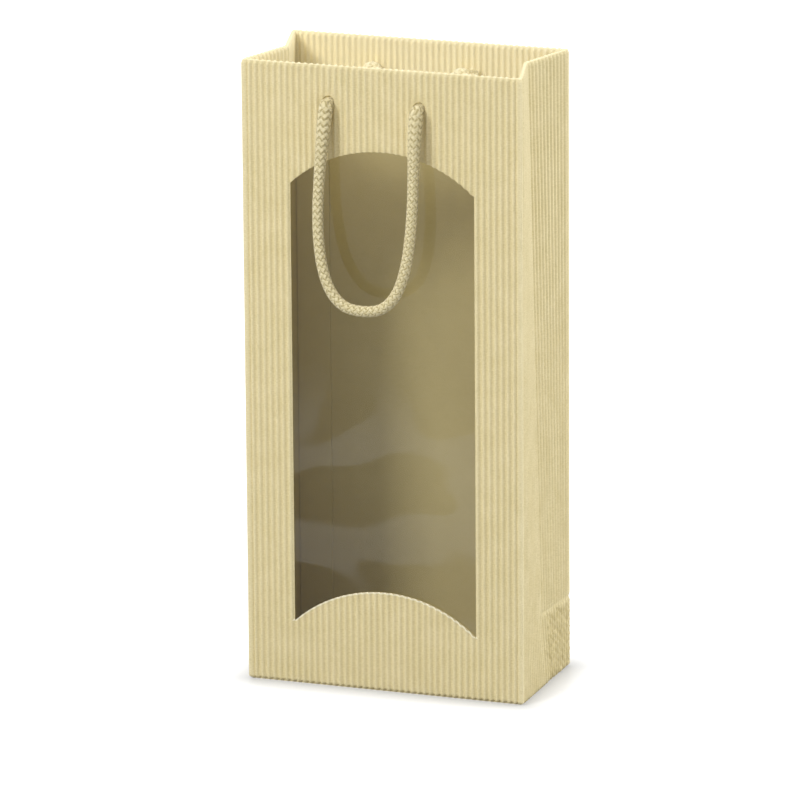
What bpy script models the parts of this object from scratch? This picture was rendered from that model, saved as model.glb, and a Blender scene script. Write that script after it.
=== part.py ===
"""Carrier bag for two bottles, made of open-flute board with an arched film window and cord handles.

The bag stands on its base with its front towards -Y. The origin is the middle of its footprint on the
ground. Every wall is drawn flat first, as distances along the wall, depths behind its outer face and
heights, and is then stood up in its place. Run it with Blender 4.5.
"""

import math
from collections import namedtuple

import bmesh
import bpy
from mathutils import Vector

MM = 0.001

# Overall size of the standing bag
WIDTH = 170 * MM
DEPTH = 85 * MM
HEIGHT = 370 * MM

# Gap between pieces that touch, how far a cutter runs past what it cuts, and when two points are one
GAP = 0.3 * MM
OVERRUN = 5 * MM
WELD = 0.003 * MM

# Open-flute board: a flat liner inside, and a paper outside that is pressed into flutes
FLUTE_PITCH = 3.8 * MM
FLUTE_DEPTH = 1.1 * MM
FLUTE_PAPER = 0.25 * MM
LINER = 0.4 * MM
CREST_SHARE = 0.26
CORNER_BAND = 4 * MM
MIDDLE_BAND = 2 * MM
BOARD = FLUTE_DEPTH + GAP + LINER

# Gussets are pushed in along their middle creases, a little at the base fold and most at the rim
RIM_DRAW = 10.6 * MM
FOLD_DRAW = 3 * MM
TWIST_STEPS = 12

# The crease that lets the base fold up against the back, half a depth above the ground
FOLD_HEIGHT = DEPTH / 2
FOLD_HALF_WIDTH = 1.4 * MM
FOLD_CRUSH_SHARE = 0.7

# Top cuff: the board turned in, with its flutes facing the inside, and the crushed fold along the rim
CUFF_HEIGHT = 40 * MM
RIM_HEIGHT = 3.5 * MM
RIM_CREST = 1.4 * MM
RIM_SHOULDER = 0.5 * MM
RIM_SET_BACK = 0.25 * MM
CUFF_BACK = BOARD + GAP
CUFF_INNER = CUFF_BACK + LINER + FLUTE_DEPTH
CUFF_BOTTOM = HEIGHT - CUFF_HEIGHT
WALL_TOP = HEIGHT - RIM_HEIGHT - GAP

# Rows of points up a wall: plain, bent at the base fold, and crushed along the base fold
PLAIN_ROWS = (0, WALL_TOP)
BENT_ROWS = (0, FOLD_HEIGHT, (FOLD_HEIGHT + WALL_TOP) / 2, WALL_TOP)
CRUSHED_ROWS = (0, FOLD_HEIGHT - FOLD_HALF_WIDTH, FOLD_HEIGHT, FOLD_HEIGHT + FOLD_HALF_WIDTH, WALL_TOP)

# Window in the front: straight sides between two arches that both rise to the middle
WINDOW_SIDE = 29.25 * MM
WINDOW_ARCH_RISE = 22 * MM
WINDOW_BELOW_CUFF = 9 * MM
WINDOW_SILL = 37.6 * MM
ARCH_STEPS = 12
FILM = 0.1 * MM
FILM_LAP = 10 * MM

# Cord handles: two holes are punched through both walls at once, a little left of the middle
CORD = 6.5 * MM
CORD_SIDES = 12
HOLE_CLEARANCE = 1.5 * MM
HOLE = CORD + HOLE_CLEARANCE
HOLE_SIDES = 16
HOLE_SPACING = 54.8 * MM
HOLE_MIDDLE = -4.5 * MM
HOLE_BELOW_RIM = 22 * MM
LOOP_DROP = 115.3 * MM
LOOP_LEAN = 16 * MM
LEAN_POWER = 0.9
LOOP_STEP = CORD
CURVE_SAMPLES = 16
CORD_HEIGHT = HEIGHT - HOLE_BELOW_RIM - HOLE_CLEARANCE / 2 + GAP
SWING_AXIS = DEPTH / 2 + CORD / 2 + GAP

# The hanging loop runs down from its holes and rounds off below: the powers shape the rounding. Half way
# down, its sides bow out and it sways to the left, as shares of half the hole spacing
LOOP_STATIONS = 12
LOOP_SIDE_POWER = 6
LOOP_ROUND_POWER = 0.4
LOOP_BOW_SHARE = 0.045
LOOP_SWAY_SHARE = 0.035
# The round shoulder over each end of the loop: share of the cord's radius up, and of its radius
SHOULDER_SHARES = ((0.96, 0.28), (0.71, 0.71), (0.38, 0.92))

# Overhand knots that stop the cord inside. Their sizes are shares of the cord that they are tied in:
# the pressed cord, the ring that its three lobes go round, the lobes, and their rise from the wall
PRESSED_SHARE = 0.77
KNOT_RING_SHARE = 0.6
KNOT_LOBE_SHARE = 0.31
KNOT_RISE_SHARE = 0.37
KNOT_LOBES = 3
KNOT_STEPS = 40
KNOT_OPENING = 2
KNOT_CORD = CORD * PRESSED_SHARE
KNOT_SEAT = CORD * KNOT_RISE_SHARE + KNOT_CORD / 2
KNOT_TAIL = 15 * MM
TAIL_FRAY_SHARE = 1.25
STRAND_MERGE_SHARE = 0.16
KNOT_KEEP_SHARE = 0.13

# Side seam: the flap that closes the sheet into a sleeve, glued behind the back wall's left end
SEAM_FLAP_WIDTH = 20 * MM
SEAM_FLAP = 0.8 * MM

# Block bottom: side flaps inside, the back flap's edge tucked over the front flap, an insert on top
FLAP = 1.5 * MM
FLAP_LAP = 10 * MM
FLAP_RAMP = 4 * MM
SIDE_FLAP_TAPER = 5 * MM
INSERT = 1.5 * MM
INSERT_CLEARANCE = 1.5 * MM
INSERT_CORNER = 2 * MM
LAYER = FLAP + GAP
BASE_TOP = 2 * LAYER + INSERT
FLOOR_HALF_WIDTH = WIDTH / 2 - BOARD - GAP
FLOOR_HALF_DEPTH = DEPTH / 2 - BOARD - GAP

# A wall is where its outer face starts in plan, the way it runs, and the way to the inside
Wall = namedtuple("Wall", "corner along inward length drawn")
FRONT = Wall((-WIDTH / 2, -DEPTH / 2), (1, 0), (0, 1), WIDTH, False)
BACK = Wall((WIDTH / 2, DEPTH / 2), (-1, 0), (0, -1), WIDTH, False)
GUSSETS = {
    "left_gusset_front": Wall((-WIDTH / 2, -DEPTH / 2), (0, 1), (1, 0), DEPTH / 2, True),
    "left_gusset_rear": Wall((-WIDTH / 2, DEPTH / 2), (0, -1), (1, 0), DEPTH / 2, True),
    "right_gusset_front": Wall((WIDTH / 2, -DEPTH / 2), (0, 1), (-1, 0), DEPTH / 2, True),
    "right_gusset_rear": Wall((WIDTH / 2, DEPTH / 2), (0, -1), (-1, 0), DEPTH / 2, True),
}


def new_collection(name):
    collection = bpy.data.collections.new(name)
    bpy.context.scene.collection.children.link(collection)
    return collection


for leftover in list(bpy.data.objects):
    bpy.data.objects.remove(leftover)
BAG = new_collection("bottle_bag")
CUTTERS = new_collection("cutters")


def make_material(name, colour, roughness, alpha=1.0):
    material = bpy.data.materials.new(name)
    material.use_nodes = True
    shader = material.node_tree.nodes["Principled BSDF"]
    shader.inputs["Base Color"].default_value = (*colour, 1.0)
    shader.inputs["Roughness"].default_value = roughness
    shader.inputs["Metallic"].default_value = 0.0
    shader.inputs["Alpha"].default_value = alpha
    return material


FLUTED_PAPER = make_material("fluted_cream_paper", (0.78, 0.69, 0.42), 0.75)
LINER_PAPER = make_material("liner_paper", (0.62, 0.56, 0.40), 0.80)
CLEAR_FILM = make_material("clear_film", (0.90, 0.92, 0.90), 0.08, 0.25)
GREYBOARD = make_material("greyboard", (0.35, 0.32, 0.25), 0.90)
COTTON = make_material("cotton_cord", (0.74, 0.66, 0.44), 0.95)


def add_part(name, data, material, collection=BAG):
    """One sub-part as an object of its own, with its own material."""
    part = bpy.data.objects.new(name, data)
    collection.objects.link(part)
    if material:
        data.materials.append(material)
    return part


def adopt(name, material, collection=BAG):
    """Names the primitive that was just added and moves it to its collection."""
    part = bpy.context.object
    part.name = part.data.name = name
    for holder in part.users_collection:
        holder.objects.unlink(part)
    collection.objects.link(part)
    if material:
        part.data.materials.append(material)
    return part


def as_cutter(obj):
    obj.hide_render = True
    obj.display_type = "WIRE"
    return obj


def boolean(part, other, operation):
    modifier = part.modifiers.new(f"{operation}_{other.name}".lower(), "BOOLEAN")
    modifier.operation = operation
    modifier.object = other


def thicken(part, thickness):
    """Gives an open sheet its thickness, half to either side."""
    modifier = part.modifiers.new("thickness", "SOLIDIFY")
    modifier.thickness = thickness
    modifier.offset = 0
    modifier.use_even_offset = True


def draw_in(along, height, length):
    """How far a gusset is pushed in at a place, from nothing at its corner to most at its middle."""
    low_share = min(height / FOLD_HEIGHT, 1)
    high_share = max(height - FOLD_HEIGHT, 0) / (HEIGHT - FOLD_HEIGHT)
    middle = FOLD_DRAW * low_share + (RIM_DRAW - FOLD_DRAW) * high_share
    start = BOARD + GAP
    return middle * (along - start) / (length - start)


def on_wall(wall, along, depth, height):
    if wall.drawn:
        depth += draw_in(along, height, wall.length)
    plan = [c + u * along + n * depth for c, u, n in zip(wall.corner, wall.along, wall.inward)]
    return Vector((*plan, height))


def raised_mesh(outline, heights, closed):
    """Draws an outline of (along, depth) points and raises it through the heights, row by row."""
    bm = bmesh.new()
    row = [bm.verts.new((along, depth, heights[0])) for along, depth in outline]
    edges = [bm.edges.new(pair) for pair in zip(row, row[1:])]
    if closed:
        edges.append(bm.edges.new((row[-1], row[0])))
        bmesh.ops.edgeloop_fill(bm, edges=edges)
    for low, high in zip(heights, heights[1:]):
        grown = bmesh.ops.extrude_edge_only(bm, edges=edges)["geom"]
        verts = {item for item in grown if isinstance(item, bmesh.types.BMVert)}
        edges = [item for item in grown if isinstance(item, bmesh.types.BMEdge)]
        edges = [edge for edge in edges if set(edge.verts) <= verts]
        bmesh.ops.translate(bm, verts=list(verts), vec=(0, 0, high - low))
    if closed:
        bmesh.ops.edgeloop_fill(bm, edges=edges)
    return bm


def stand_up(bm, wall, name):
    """Stands a flat drawing up in its wall and closes it into a mesh."""
    for vert in bm.verts:
        vert.co = on_wall(wall, *vert.co)
    bm.normal_update()
    bmesh.ops.recalc_face_normals(bm, faces=bm.faces)
    mesh = bpy.data.meshes.new(name)
    bm.to_mesh(mesh)
    bm.free()
    return mesh


def flute_outline(start, end, first_band, last_band, trough, crest):
    """The pressed paper's line: flat bands at both ends and whole flutes, evenly spread, between."""
    count = math.floor((end - start - first_band - last_band) / FLUTE_PITCH)
    spare = (end - start - count * FLUTE_PITCH - first_band - last_band) / 2
    slope = FLUTE_PITCH * (1 - 2 * CREST_SHARE) / 2
    flat = FLUTE_PITCH * CREST_SHARE
    line = [(start, trough)]
    for index in range(count):
        foot = start + first_band + spare + index * FLUTE_PITCH + flat / 2
        line += [(foot, trough), (foot + slope, crest)]
        line += [(foot + slope + flat, crest), (foot + 2 * slope + flat, trough)]
    return line + [(end, trough)]


def level_line(wall, start, end, depth):
    """A flat face's line along a wall, in short steps where the wall twists as it is pushed in."""
    steps = TWIST_STEPS if wall.drawn else 1
    return [(start + (end - start) * step / steps, depth) for step in range(steps + 1)]


def flute_sheet(name, wall, heights, start, end, last_band):
    """The outer paper of one wall, standing off its liner in flutes."""
    trough = FLUTE_DEPTH - FLUTE_PAPER / 2
    line = flute_outline(start, end, CORNER_BAND, last_band, trough, FLUTE_PAPER / 2)
    bm = raised_mesh(line, heights, closed=False)
    if heights is CRUSHED_ROWS:
        for vert in bm.verts:
            if abs(vert.co.z - FOLD_HEIGHT) < FOLD_HALF_WIDTH / 2:
                vert.co.y += (trough - vert.co.y) * FOLD_CRUSH_SHARE
    part = add_part(name, stand_up(bm, wall, name), FLUTED_PAPER)
    thicken(part, FLUTE_PAPER)
    return part


def flat_sheet(name, wall, heights, start, end, depth, thickness, material=LINER_PAPER):
    """A flat sheet in one wall, its outer face at the given depth."""
    bm = raised_mesh(level_line(wall, start, end, depth + thickness / 2), heights, closed=False)
    part = add_part(name, stand_up(bm, wall, name), material)
    thicken(part, thickness)
    return part


def cuff(name, wall, start, end, last_band, rim_start, rim_end):
    """A turned-in length of board: its flutes face the inside, and its crushed fold caps the wall."""
    line = flute_outline(start, end, CORNER_BAND, last_band, CUFF_BACK + LINER, CUFF_INNER)
    outline = line + level_line(wall, start, end, CUFF_BACK)[::-1]
    strip = raised_mesh(outline, [CUFF_BOTTOM, HEIGHT - RIM_HEIGHT / 2], closed=True)
    part = add_part(name, stand_up(strip, wall, name), FLUTED_PAPER)
    middle, low, shoulder = CUFF_INNER / 2, HEIGHT - RIM_HEIGHT, HEIGHT - RIM_SHOULDER
    section = [
        (RIM_SET_BACK, low), (middle - RIM_CREST / 2, shoulder), (middle - RIM_CREST / 4, HEIGHT),
        (middle + RIM_CREST / 4, HEIGHT), (middle + RIM_CREST / 2, shoulder),
        (CUFF_INNER - RIM_SET_BACK, low),
    ]
    bm = raised_mesh(section, [rim_start, rim_end], closed=True)
    for vert in bm.verts:
        depth, height, along = vert.co
        vert.co = (along, depth, height)
    fold = as_cutter(add_part(f"{name}_fold", stand_up(bm, wall, f"{name}_fold"), None, CUTTERS))
    boolean(part, fold, "UNION")
    return part


def arch(half_width, rise, springing, steps):
    """Points of a shallow arch from left to right over its springing height."""
    radius = (half_width**2 + rise**2) / (2 * rise)
    sweep = math.asin(half_width / radius)
    angles = [sweep * (2 * step / steps - 1) for step in range(steps + 1)]
    return [(radius * math.sin(a), springing + rise - radius * (1 - math.cos(a))) for a in angles]


def window_cutter():
    half = WIDTH / 2 - WINDOW_SIDE
    springing = CUFF_BOTTOM - WINDOW_BELOW_CUFF - WINDOW_ARCH_RISE
    top = arch(half, WINDOW_ARCH_RISE, springing, ARCH_STEPS)
    sill = arch(half, WINDOW_ARCH_RISE, WINDOW_SILL, ARCH_STEPS)
    bm = raised_mesh(sill + top[::-1], [-OVERRUN, BOARD + OVERRUN], closed=True)
    for vert in bm.verts:
        along, height, depth = vert.co
        vert.co = (along + WIDTH / 2, depth, height)
    return as_cutter(add_part("window_cutter", stand_up(bm, FRONT, "window_cutter"), None, CUTTERS))


def hole_punches():
    """Two rods right through the bag, for the handle holes of both walls."""
    punches = []
    for side, name in ((-1, "left_punch"), (1, "right_punch")):
        bpy.ops.mesh.primitive_cylinder_add(
            vertices=HOLE_SIDES,
            radius=HOLE / 2,
            depth=DEPTH + 2 * OVERRUN,
            location=(HOLE_MIDDLE + side * HOLE_SPACING / 2, 0, HEIGHT - HOLE_BELOW_RIM),
            rotation=(math.radians(90), 0, 0),
        )
        punches.append(as_cutter(adopt(name, None, CUTTERS)))
    return punches


def wide_walls(window, punches):
    """The front and back walls: liner, flutes and cuff of each, all punched for the handles."""
    liner_edge = FLUTE_DEPTH + GAP
    flute_edge = FLUTE_DEPTH - FLUTE_PAPER
    cuff_edge = CUFF_BACK + GAP + draw_in(CUFF_INNER, HEIGHT, DEPTH / 2)
    for side, wall, rows in (("front", FRONT, PLAIN_ROWS), ("back", BACK, CRUSHED_ROWS)):
        panel = flat_sheet(
            f"{side}_panel", wall, PLAIN_ROWS, liner_edge, WIDTH - liner_edge, liner_edge, LINER,
        )
        flutes = flute_sheet(f"{side}_flutes", wall, rows, flute_edge, WIDTH - flute_edge, CORNER_BAND)
        turned_in = cuff(
            f"{side}_cuff", wall, cuff_edge, WIDTH - cuff_edge, CORNER_BAND,
            flute_edge, WIDTH - flute_edge,
        )
        if side == "front":
            boolean(panel, window, "DIFFERENCE")
            boolean(flutes, window, "DIFFERENCE")
        for part in (panel, flutes, turned_in):
            for punch in punches:
                boolean(part, punch, "DIFFERENCE")


def gussets():
    """Four half gussets: each turns about its corner as the middle crease is pushed in."""
    end = DEPTH / 2 - GAP / 2
    inner = CUFF_INNER + GAP
    for name, wall in GUSSETS.items():
        rows = CRUSHED_ROWS if name.endswith("rear") else BENT_ROWS
        flat_sheet(f"{name}_panel", wall, BENT_ROWS, BOARD + GAP, end, FLUTE_DEPTH + GAP, LINER)
        flute_sheet(f"{name}_flutes", wall, rows, FLUTE_DEPTH + GAP, end, MIDDLE_BAND)
        cuff(f"{name}_cuff", wall, inner, end, MIDDLE_BAND, inner, end)


def window_film():
    """Clear film glued round the window, behind the front liner."""
    side = WINDOW_SIDE - FILM_LAP
    rows = (WINDOW_SILL - FILM_LAP, CUFF_BOTTOM - GAP)
    flat_sheet("window_film", FRONT, rows, side, WIDTH - side, BOARD + GAP, FILM, CLEAR_FILM)


def seam_flap():
    inside = BOARD + GAP
    end = WIDTH - inside - draw_in(inside + SEAM_FLAP, HEIGHT, DEPTH / 2) - GAP
    rows = (BASE_TOP + GAP, CUFF_BOTTOM - GAP)
    flat_sheet("seam_flap", BACK, rows, end - SEAM_FLAP_WIDTH, end, inside, SEAM_FLAP)


def plate(name, outline, bottom, thickness, material, collection=BAG):
    """A flat piece cut to a plan outline, as a filled curve with half its thickness to either side."""
    curve = bpy.data.curves.new(name, "CURVE")
    curve.dimensions = "2D"
    curve.fill_mode = "BOTH"
    curve.extrude = thickness / 2
    spline = curve.splines.new("POLY")
    spline.points.add(len(outline) - 1)
    for point, (x, y) in zip(spline.points, outline):
        point.co = (x, y, 0, 1)
    spline.use_cyclic_u = True
    part = add_part(name, curve, material, collection)
    part.location.z = bottom + thickness / 2
    return part


def as_mesh_object(part):
    """Turns a curve object into a closed mesh object of the same name and place."""
    bpy.context.view_layer.update()
    evaluated = part.evaluated_get(bpy.context.evaluated_depsgraph_get())
    mesh = bpy.data.meshes.new_from_object(evaluated)
    bm = bmesh.new()
    bm.from_mesh(mesh)
    bmesh.ops.remove_doubles(bm, verts=bm.verts, dist=WELD)
    bmesh.ops.recalc_face_normals(bm, faces=bm.faces)
    bm.to_mesh(mesh)
    bm.free()
    name, matrix, collection = part.name, part.matrix_world.copy(), part.users_collection[0]
    bpy.data.objects.remove(part)
    solid = add_part(name, mesh, None, collection)
    solid.matrix_world = matrix
    return solid


def mirrored(half_outline):
    """Closes a right-hand run of points, from the front to the back, with its mirror image."""
    return half_outline + [(-x, y) for x, y in reversed(half_outline)]


def front_and_side_flaps():
    """The mitred front flap on the ground, and the side flaps that lie on it and on the back flap."""
    a, b = FLOOR_HALF_WIDTH, FLOOR_HALF_DEPTH
    outline = mirrored([(a, -b), (a - b, 0), (a - b, FLAP_LAP)])
    plate("bottom_flap_front", outline, 0, FLAP, FLUTED_PAPER)
    for name, side in (("bottom_flap_left", -1), ("bottom_flap_right", 1)):
        tip = side * (a - b + GAP)
        outline = [(side * a, -b), (side * a, b), (tip, b - SIDE_FLAP_TAPER), (tip, SIDE_FLAP_TAPER - b)]
        plate(name, outline, LAYER, FLAP, FLUTED_PAPER)


def back_flap():
    """The back flap steps up over the front flap's edge, where the two are glued together."""
    a, b = FLOOR_HALF_WIDTH, FLOOR_HALF_DEPTH
    ramp_start = FLAP_LAP + GAP
    ramp_end = ramp_start + FLAP_RAMP
    profile = [
        (-FLAP_LAP - OVERRUN, LAYER + FLAP / 2), (ramp_start + FLAP / 2, LAYER + FLAP / 2),
        (ramp_end + FLAP / 2, FLAP / 2), (b + OVERRUN, FLAP / 2),
    ]
    bm = raised_mesh(profile, [-a - OVERRUN, a + OVERRUN], closed=False)
    for vert in bm.verts:
        depth, height, across = vert.co
        vert.co = (across, depth, height)
    bm.normal_update()
    mesh = bpy.data.meshes.new("bottom_flap_back")
    bm.to_mesh(mesh)
    bm.free()
    back = add_part("bottom_flap_back", mesh, FLUTED_PAPER)
    thicken(back, FLAP)
    step = ramp_end + FLAP
    outline = mirrored([(a - b, -FLAP_LAP), (a - b, step), (a - b + step, step), (a, b)])
    trim = plate("flap_trim", outline, -OVERRUN, 2 * OVERRUN + 2 * LAYER, None, CUTTERS)
    boolean(back, as_cutter(as_mesh_object(trim)), "INTERSECT")


def base_insert():
    bpy.ops.mesh.primitive_cube_add(size=1)
    part = adopt("base_insert", GREYBOARD)
    length = 2 * (FLOOR_HALF_WIDTH - INSERT_CLEARANCE)
    breadth = 2 * (FLOOR_HALF_DEPTH - INSERT_CLEARANCE)
    bm = bmesh.new()
    bm.from_mesh(part.data)
    bmesh.ops.scale(bm, verts=bm.verts, vec=(length, breadth, INSERT))
    upright = [edge for edge in bm.edges if edge.verts[0].co.z * edge.verts[1].co.z < 0]
    bmesh.ops.bevel(bm, geom=upright, offset=INSERT_CORNER, segments=2, affect="EDGES", profile=0.5)
    bm.to_mesh(part.data)
    bm.free()
    part.location.z = 2 * LAYER + INSERT / 2


def smooth_points(route, step):
    """Evenly spaced points on the smooth curve through a route's own points, and its length."""
    padded = [2 * route[0] - route[1], *route, 2 * route[-1] - route[-2]]
    fine = []
    for before, here, there, after in zip(padded, padded[1:], padded[2:], padded[3:]):
        for sample in range(CURVE_SAMPLES):
            t = sample / CURVE_SAMPLES
            bend = 2 * before - 5 * here + 4 * there - after
            twist = 3 * here - 3 * there + after - before
            fine.append(here + t * (there - before + t * bend + t * t * twist) / 2)
    fine.append(route[-1])
    lengths = [0]
    for here, there in zip(fine, fine[1:]):
        lengths.append(lengths[-1] + (there - here).length)
    count = math.ceil(lengths[-1] / step)
    points, index = [], 0
    for number in range(count + 1):
        goal = lengths[-1] * number / count
        while index < len(fine) - 2 and lengths[index + 1] < goal:
            index += 1
        share = (goal - lengths[index]) / (lengths[index + 1] - lengths[index])
        points.append(fine[index].lerp(fine[index + 1], share))
    return points, lengths[-1]


def cord_tube(name, points, radii, diameter):
    """A round cord along its points, with filled ends."""
    curve = bpy.data.curves.new(name, "CURVE")
    curve.dimensions = "3D"
    curve.bevel_depth = diameter / 2
    curve.bevel_resolution = (CORD_SIDES - 4) // 2
    curve.use_fill_caps = True
    spline = curve.splines.new("POLY")
    spline.points.add(len(points) - 1)
    for point, place, radius in zip(spline.points, points, radii):
        point.co = (*place, 1)
        point.radius = radius
    spline.use_smooth = True
    return add_part(name, curve, COTTON)


def loop_route(outward):
    """The free loop from its left hole to its right one, leaning away from the wall as it hangs."""
    half = HOLE_SPACING / 2
    drops = [math.sin(math.pi / 2 * step / LOOP_STATIONS) for step in range(LOOP_STATIONS + 1)]
    route = []
    for way, run in ((-1, drops), (1, drops[-2::-1])):
        for drop in run:
            middle = math.sin(math.pi * drop)
            spread = (1 - drop**LOOP_SIDE_POWER) ** LOOP_ROUND_POWER + LOOP_BOW_SHARE * middle**2
            across = way * spread - LOOP_SWAY_SHARE * middle
            lean = LOOP_LEAN * drop**LEAN_POWER
            route.append(Vector((across * half, outward * lean, -LOOP_DROP * drop)))
    return route


def handle_loop(side, outward):
    """The free loop of one handle, hanging from the swing axis in front of its two holes."""
    axis = bpy.data.objects.new(f"{side}_handle_axis", None)
    BAG.objects.link(axis)
    axis.location = (HOLE_MIDDLE, outward * SWING_AXIS, CORD_HEIGHT)
    points, length = smooth_points(loop_route(outward), LOOP_STEP)
    up = Vector((0, 0, CORD / 2))
    start = [points[0] + up * rise for rise, _ in SHOULDER_SHARES]
    end = [points[-1] + up * rise for rise, _ in reversed(SHOULDER_SHARES)]
    radii = [radius for _, radius in SHOULDER_SHARES]
    radii = radii + [1] * len(points) + radii[::-1]
    loop = cord_tube(f"{side}_handle_loop", start + points + end, radii, CORD)
    loop.parent = axis
    print(f"{side} handle: free cord {length / MM:.0f} mm")


def knot_route(outward):
    """An overhand knot about the hole's line: in from the wall, once round its three lobes, and down."""
    ring, lobe, rise = (CORD * share for share in (KNOT_RING_SHARE, KNOT_LOBE_SHARE, KNOT_RISE_SHARE))
    route = [Vector((0, outward * (KNOT_SEAT - KNOT_CORD / 4), 0))]
    for step in range(KNOT_OPENING, KNOT_STEPS - KNOT_OPENING + 1):
        turn = 2 * math.pi * step / KNOT_STEPS
        reach = ring + lobe * math.cos(KNOT_LOBES * turn)
        route.append(
            Vector((
                reach * math.cos(2 * turn),
                -outward * rise * math.sin(KNOT_LOBES * turn),
                reach * math.sin(2 * turn),
            ))
        )
    outside = route[-1]
    route.append(outside + Vector((KNOT_CORD / 4, 0, -KNOT_TAIL / 2)))
    route.append(outside + Vector((0, 0, -KNOT_TAIL)))
    return route


def cord_ends(side, outward):
    """What holds one handle: each cord end through its hole, and the knot behind it."""
    inner = DEPTH / 2 - CUFF_INNER
    for end, across in (("left", -1), ("right", 1)):
        x = HOLE_MIDDLE + across * HOLE_SPACING / 2
        bpy.ops.mesh.primitive_cylinder_add(
            vertices=CORD_SIDES,
            radius=CORD / 2,
            depth=CUFF_INNER,
            location=(x, outward * (DEPTH / 2 - CUFF_INNER / 2), CORD_HEIGHT),
            rotation=(math.radians(90), 0, 0),
        )
        part = adopt(f"{side}_cord_end_{end}", COTTON)
        part.data.shade_smooth()
        part.data.set_sharp_from_angle(angle=math.radians(60))
        route = knot_route(outward)
        radii = [1] * (len(route) - 1) + [TAIL_FRAY_SHARE]
        knot = as_mesh_object(cord_tube(f"{side}_knot_{end}", route, radii, KNOT_CORD))
        remesh = knot.modifiers.new("merge_strands", "REMESH")
        remesh.mode = "VOXEL"
        remesh.voxel_size = KNOT_CORD * STRAND_MERGE_SHARE
        remesh.use_smooth_shade = True
        thin = knot.modifiers.new("fewer_faces", "DECIMATE")
        thin.ratio = KNOT_KEEP_SHARE
        knot.location = (x, outward * (inner - KNOT_SEAT - GAP), CORD_HEIGHT)


def build():
    window = window_cutter()
    punches = hole_punches()
    wide_walls(window, punches)
    gussets()
    window_film()
    seam_flap()
    front_and_side_flaps()
    back_flap()
    base_insert()
    for side, outward in (("front", -1), ("back", 1)):
        handle_loop(side, outward)
        cord_ends(side, outward)


build()
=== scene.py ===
# %% [markdown]
# # A carrier bag with a window, dressed over its CAD frame
#
# The bag is open-flute board: a smooth liner inside and a cream paper pressed into flutes outside. Its top
# is turned in, its front has an arched window closed by film, and two braided cotton cords are its handles.
# The script makes each of these as its maker would: it presses and folds the paper, cuts the window and
# the holes, and braids the cords. First comes the frame, which fixes every place and size.

import math

import bmesh
import bpy
import numpy as np
from mathutils import Matrix, Vector


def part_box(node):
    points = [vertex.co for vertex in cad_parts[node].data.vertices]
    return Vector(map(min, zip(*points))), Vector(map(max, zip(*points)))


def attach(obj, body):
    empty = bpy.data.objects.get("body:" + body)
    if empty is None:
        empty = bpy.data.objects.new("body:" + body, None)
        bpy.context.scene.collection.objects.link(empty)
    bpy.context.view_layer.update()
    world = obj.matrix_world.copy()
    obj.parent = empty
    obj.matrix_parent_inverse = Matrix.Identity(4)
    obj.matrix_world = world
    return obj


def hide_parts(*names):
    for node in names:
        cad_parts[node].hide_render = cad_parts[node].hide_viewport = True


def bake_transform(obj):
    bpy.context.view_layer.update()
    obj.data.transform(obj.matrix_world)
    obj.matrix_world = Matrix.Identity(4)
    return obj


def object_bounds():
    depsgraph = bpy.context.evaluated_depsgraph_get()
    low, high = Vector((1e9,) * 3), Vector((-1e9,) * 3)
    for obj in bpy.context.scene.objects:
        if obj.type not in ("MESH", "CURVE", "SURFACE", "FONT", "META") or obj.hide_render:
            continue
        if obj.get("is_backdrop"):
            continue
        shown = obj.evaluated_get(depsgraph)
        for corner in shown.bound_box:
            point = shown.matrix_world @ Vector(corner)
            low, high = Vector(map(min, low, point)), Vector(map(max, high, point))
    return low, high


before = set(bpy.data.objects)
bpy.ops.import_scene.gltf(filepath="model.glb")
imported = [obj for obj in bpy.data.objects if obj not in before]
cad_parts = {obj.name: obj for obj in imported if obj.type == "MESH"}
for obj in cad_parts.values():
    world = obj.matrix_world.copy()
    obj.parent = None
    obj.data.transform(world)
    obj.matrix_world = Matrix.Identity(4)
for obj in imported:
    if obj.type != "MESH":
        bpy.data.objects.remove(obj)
cad_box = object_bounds()
MM = 0.001
SMOOTH = {"interpolation_type": "SMOOTHSTEP"}  # for a range that eases in and out
print("CAD box, mm:", [[round(value / MM, 1) for value in corner] for corner in cad_box])

# %% [markdown]
# ## Small helpers
#
# One function adds any node and links or sets its inputs. One puts a mesh in the scene as a piece, and one
# turns a piece's live modifiers into plain mesh. Two make a Geometry Nodes group with named inputs and run it
# on a piece, and the last turns a colour linear.

# %% Helpers
def add(tree, kind, inputs=(), pick=0, **settings):
    """Adds a node, links or sets its inputs by place or name, and gives back the output that is picked."""
    node = tree.nodes.new(kind)
    for name, value in settings.items():
        setattr(node, name, value)
    for key, value in inputs.items() if isinstance(inputs, dict) else enumerate(inputs):
        if isinstance(value, bpy.types.NodeSocket):
            tree.links.new(value, node.inputs[key])
        elif value is not None:
            node.inputs[key].default_value = value
    return node.outputs[pick] if len(node.outputs) else node


def new_piece(name, mesh, material=None):
    piece = bpy.data.objects.new(name, mesh)
    bpy.context.scene.collection.objects.link(piece)
    if material:
        mesh.materials.append(material)
    return piece


def settle(piece):
    """Turns what the modifiers show into the piece's own plain mesh."""
    bpy.context.view_layer.update()
    graph = bpy.context.evaluated_depsgraph_get()
    shown = piece.evaluated_get(graph)
    mesh = bpy.data.meshes.new_from_object(shown, preserve_all_data_layers=True, depsgraph=graph)
    piece.modifiers.clear()
    piece.data = mesh
    return piece


def new_group(name, **kinds):
    """A Geometry Nodes group with the named inputs of each kind, and the node that holds them."""
    tree = bpy.data.node_groups.new(name, "GeometryNodeTree")
    for kind, labels in {"Geometry": ["Geometry"], **kinds}.items():
        for label in labels:
            tree.interface.new_socket(label, in_out="INPUT", socket_type=f"NodeSocket{kind}")
    tree.interface.new_socket("Geometry", in_out="OUTPUT", socket_type="NodeSocketGeometry")
    return tree, tree.nodes.new("NodeGroupInput").outputs


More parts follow.
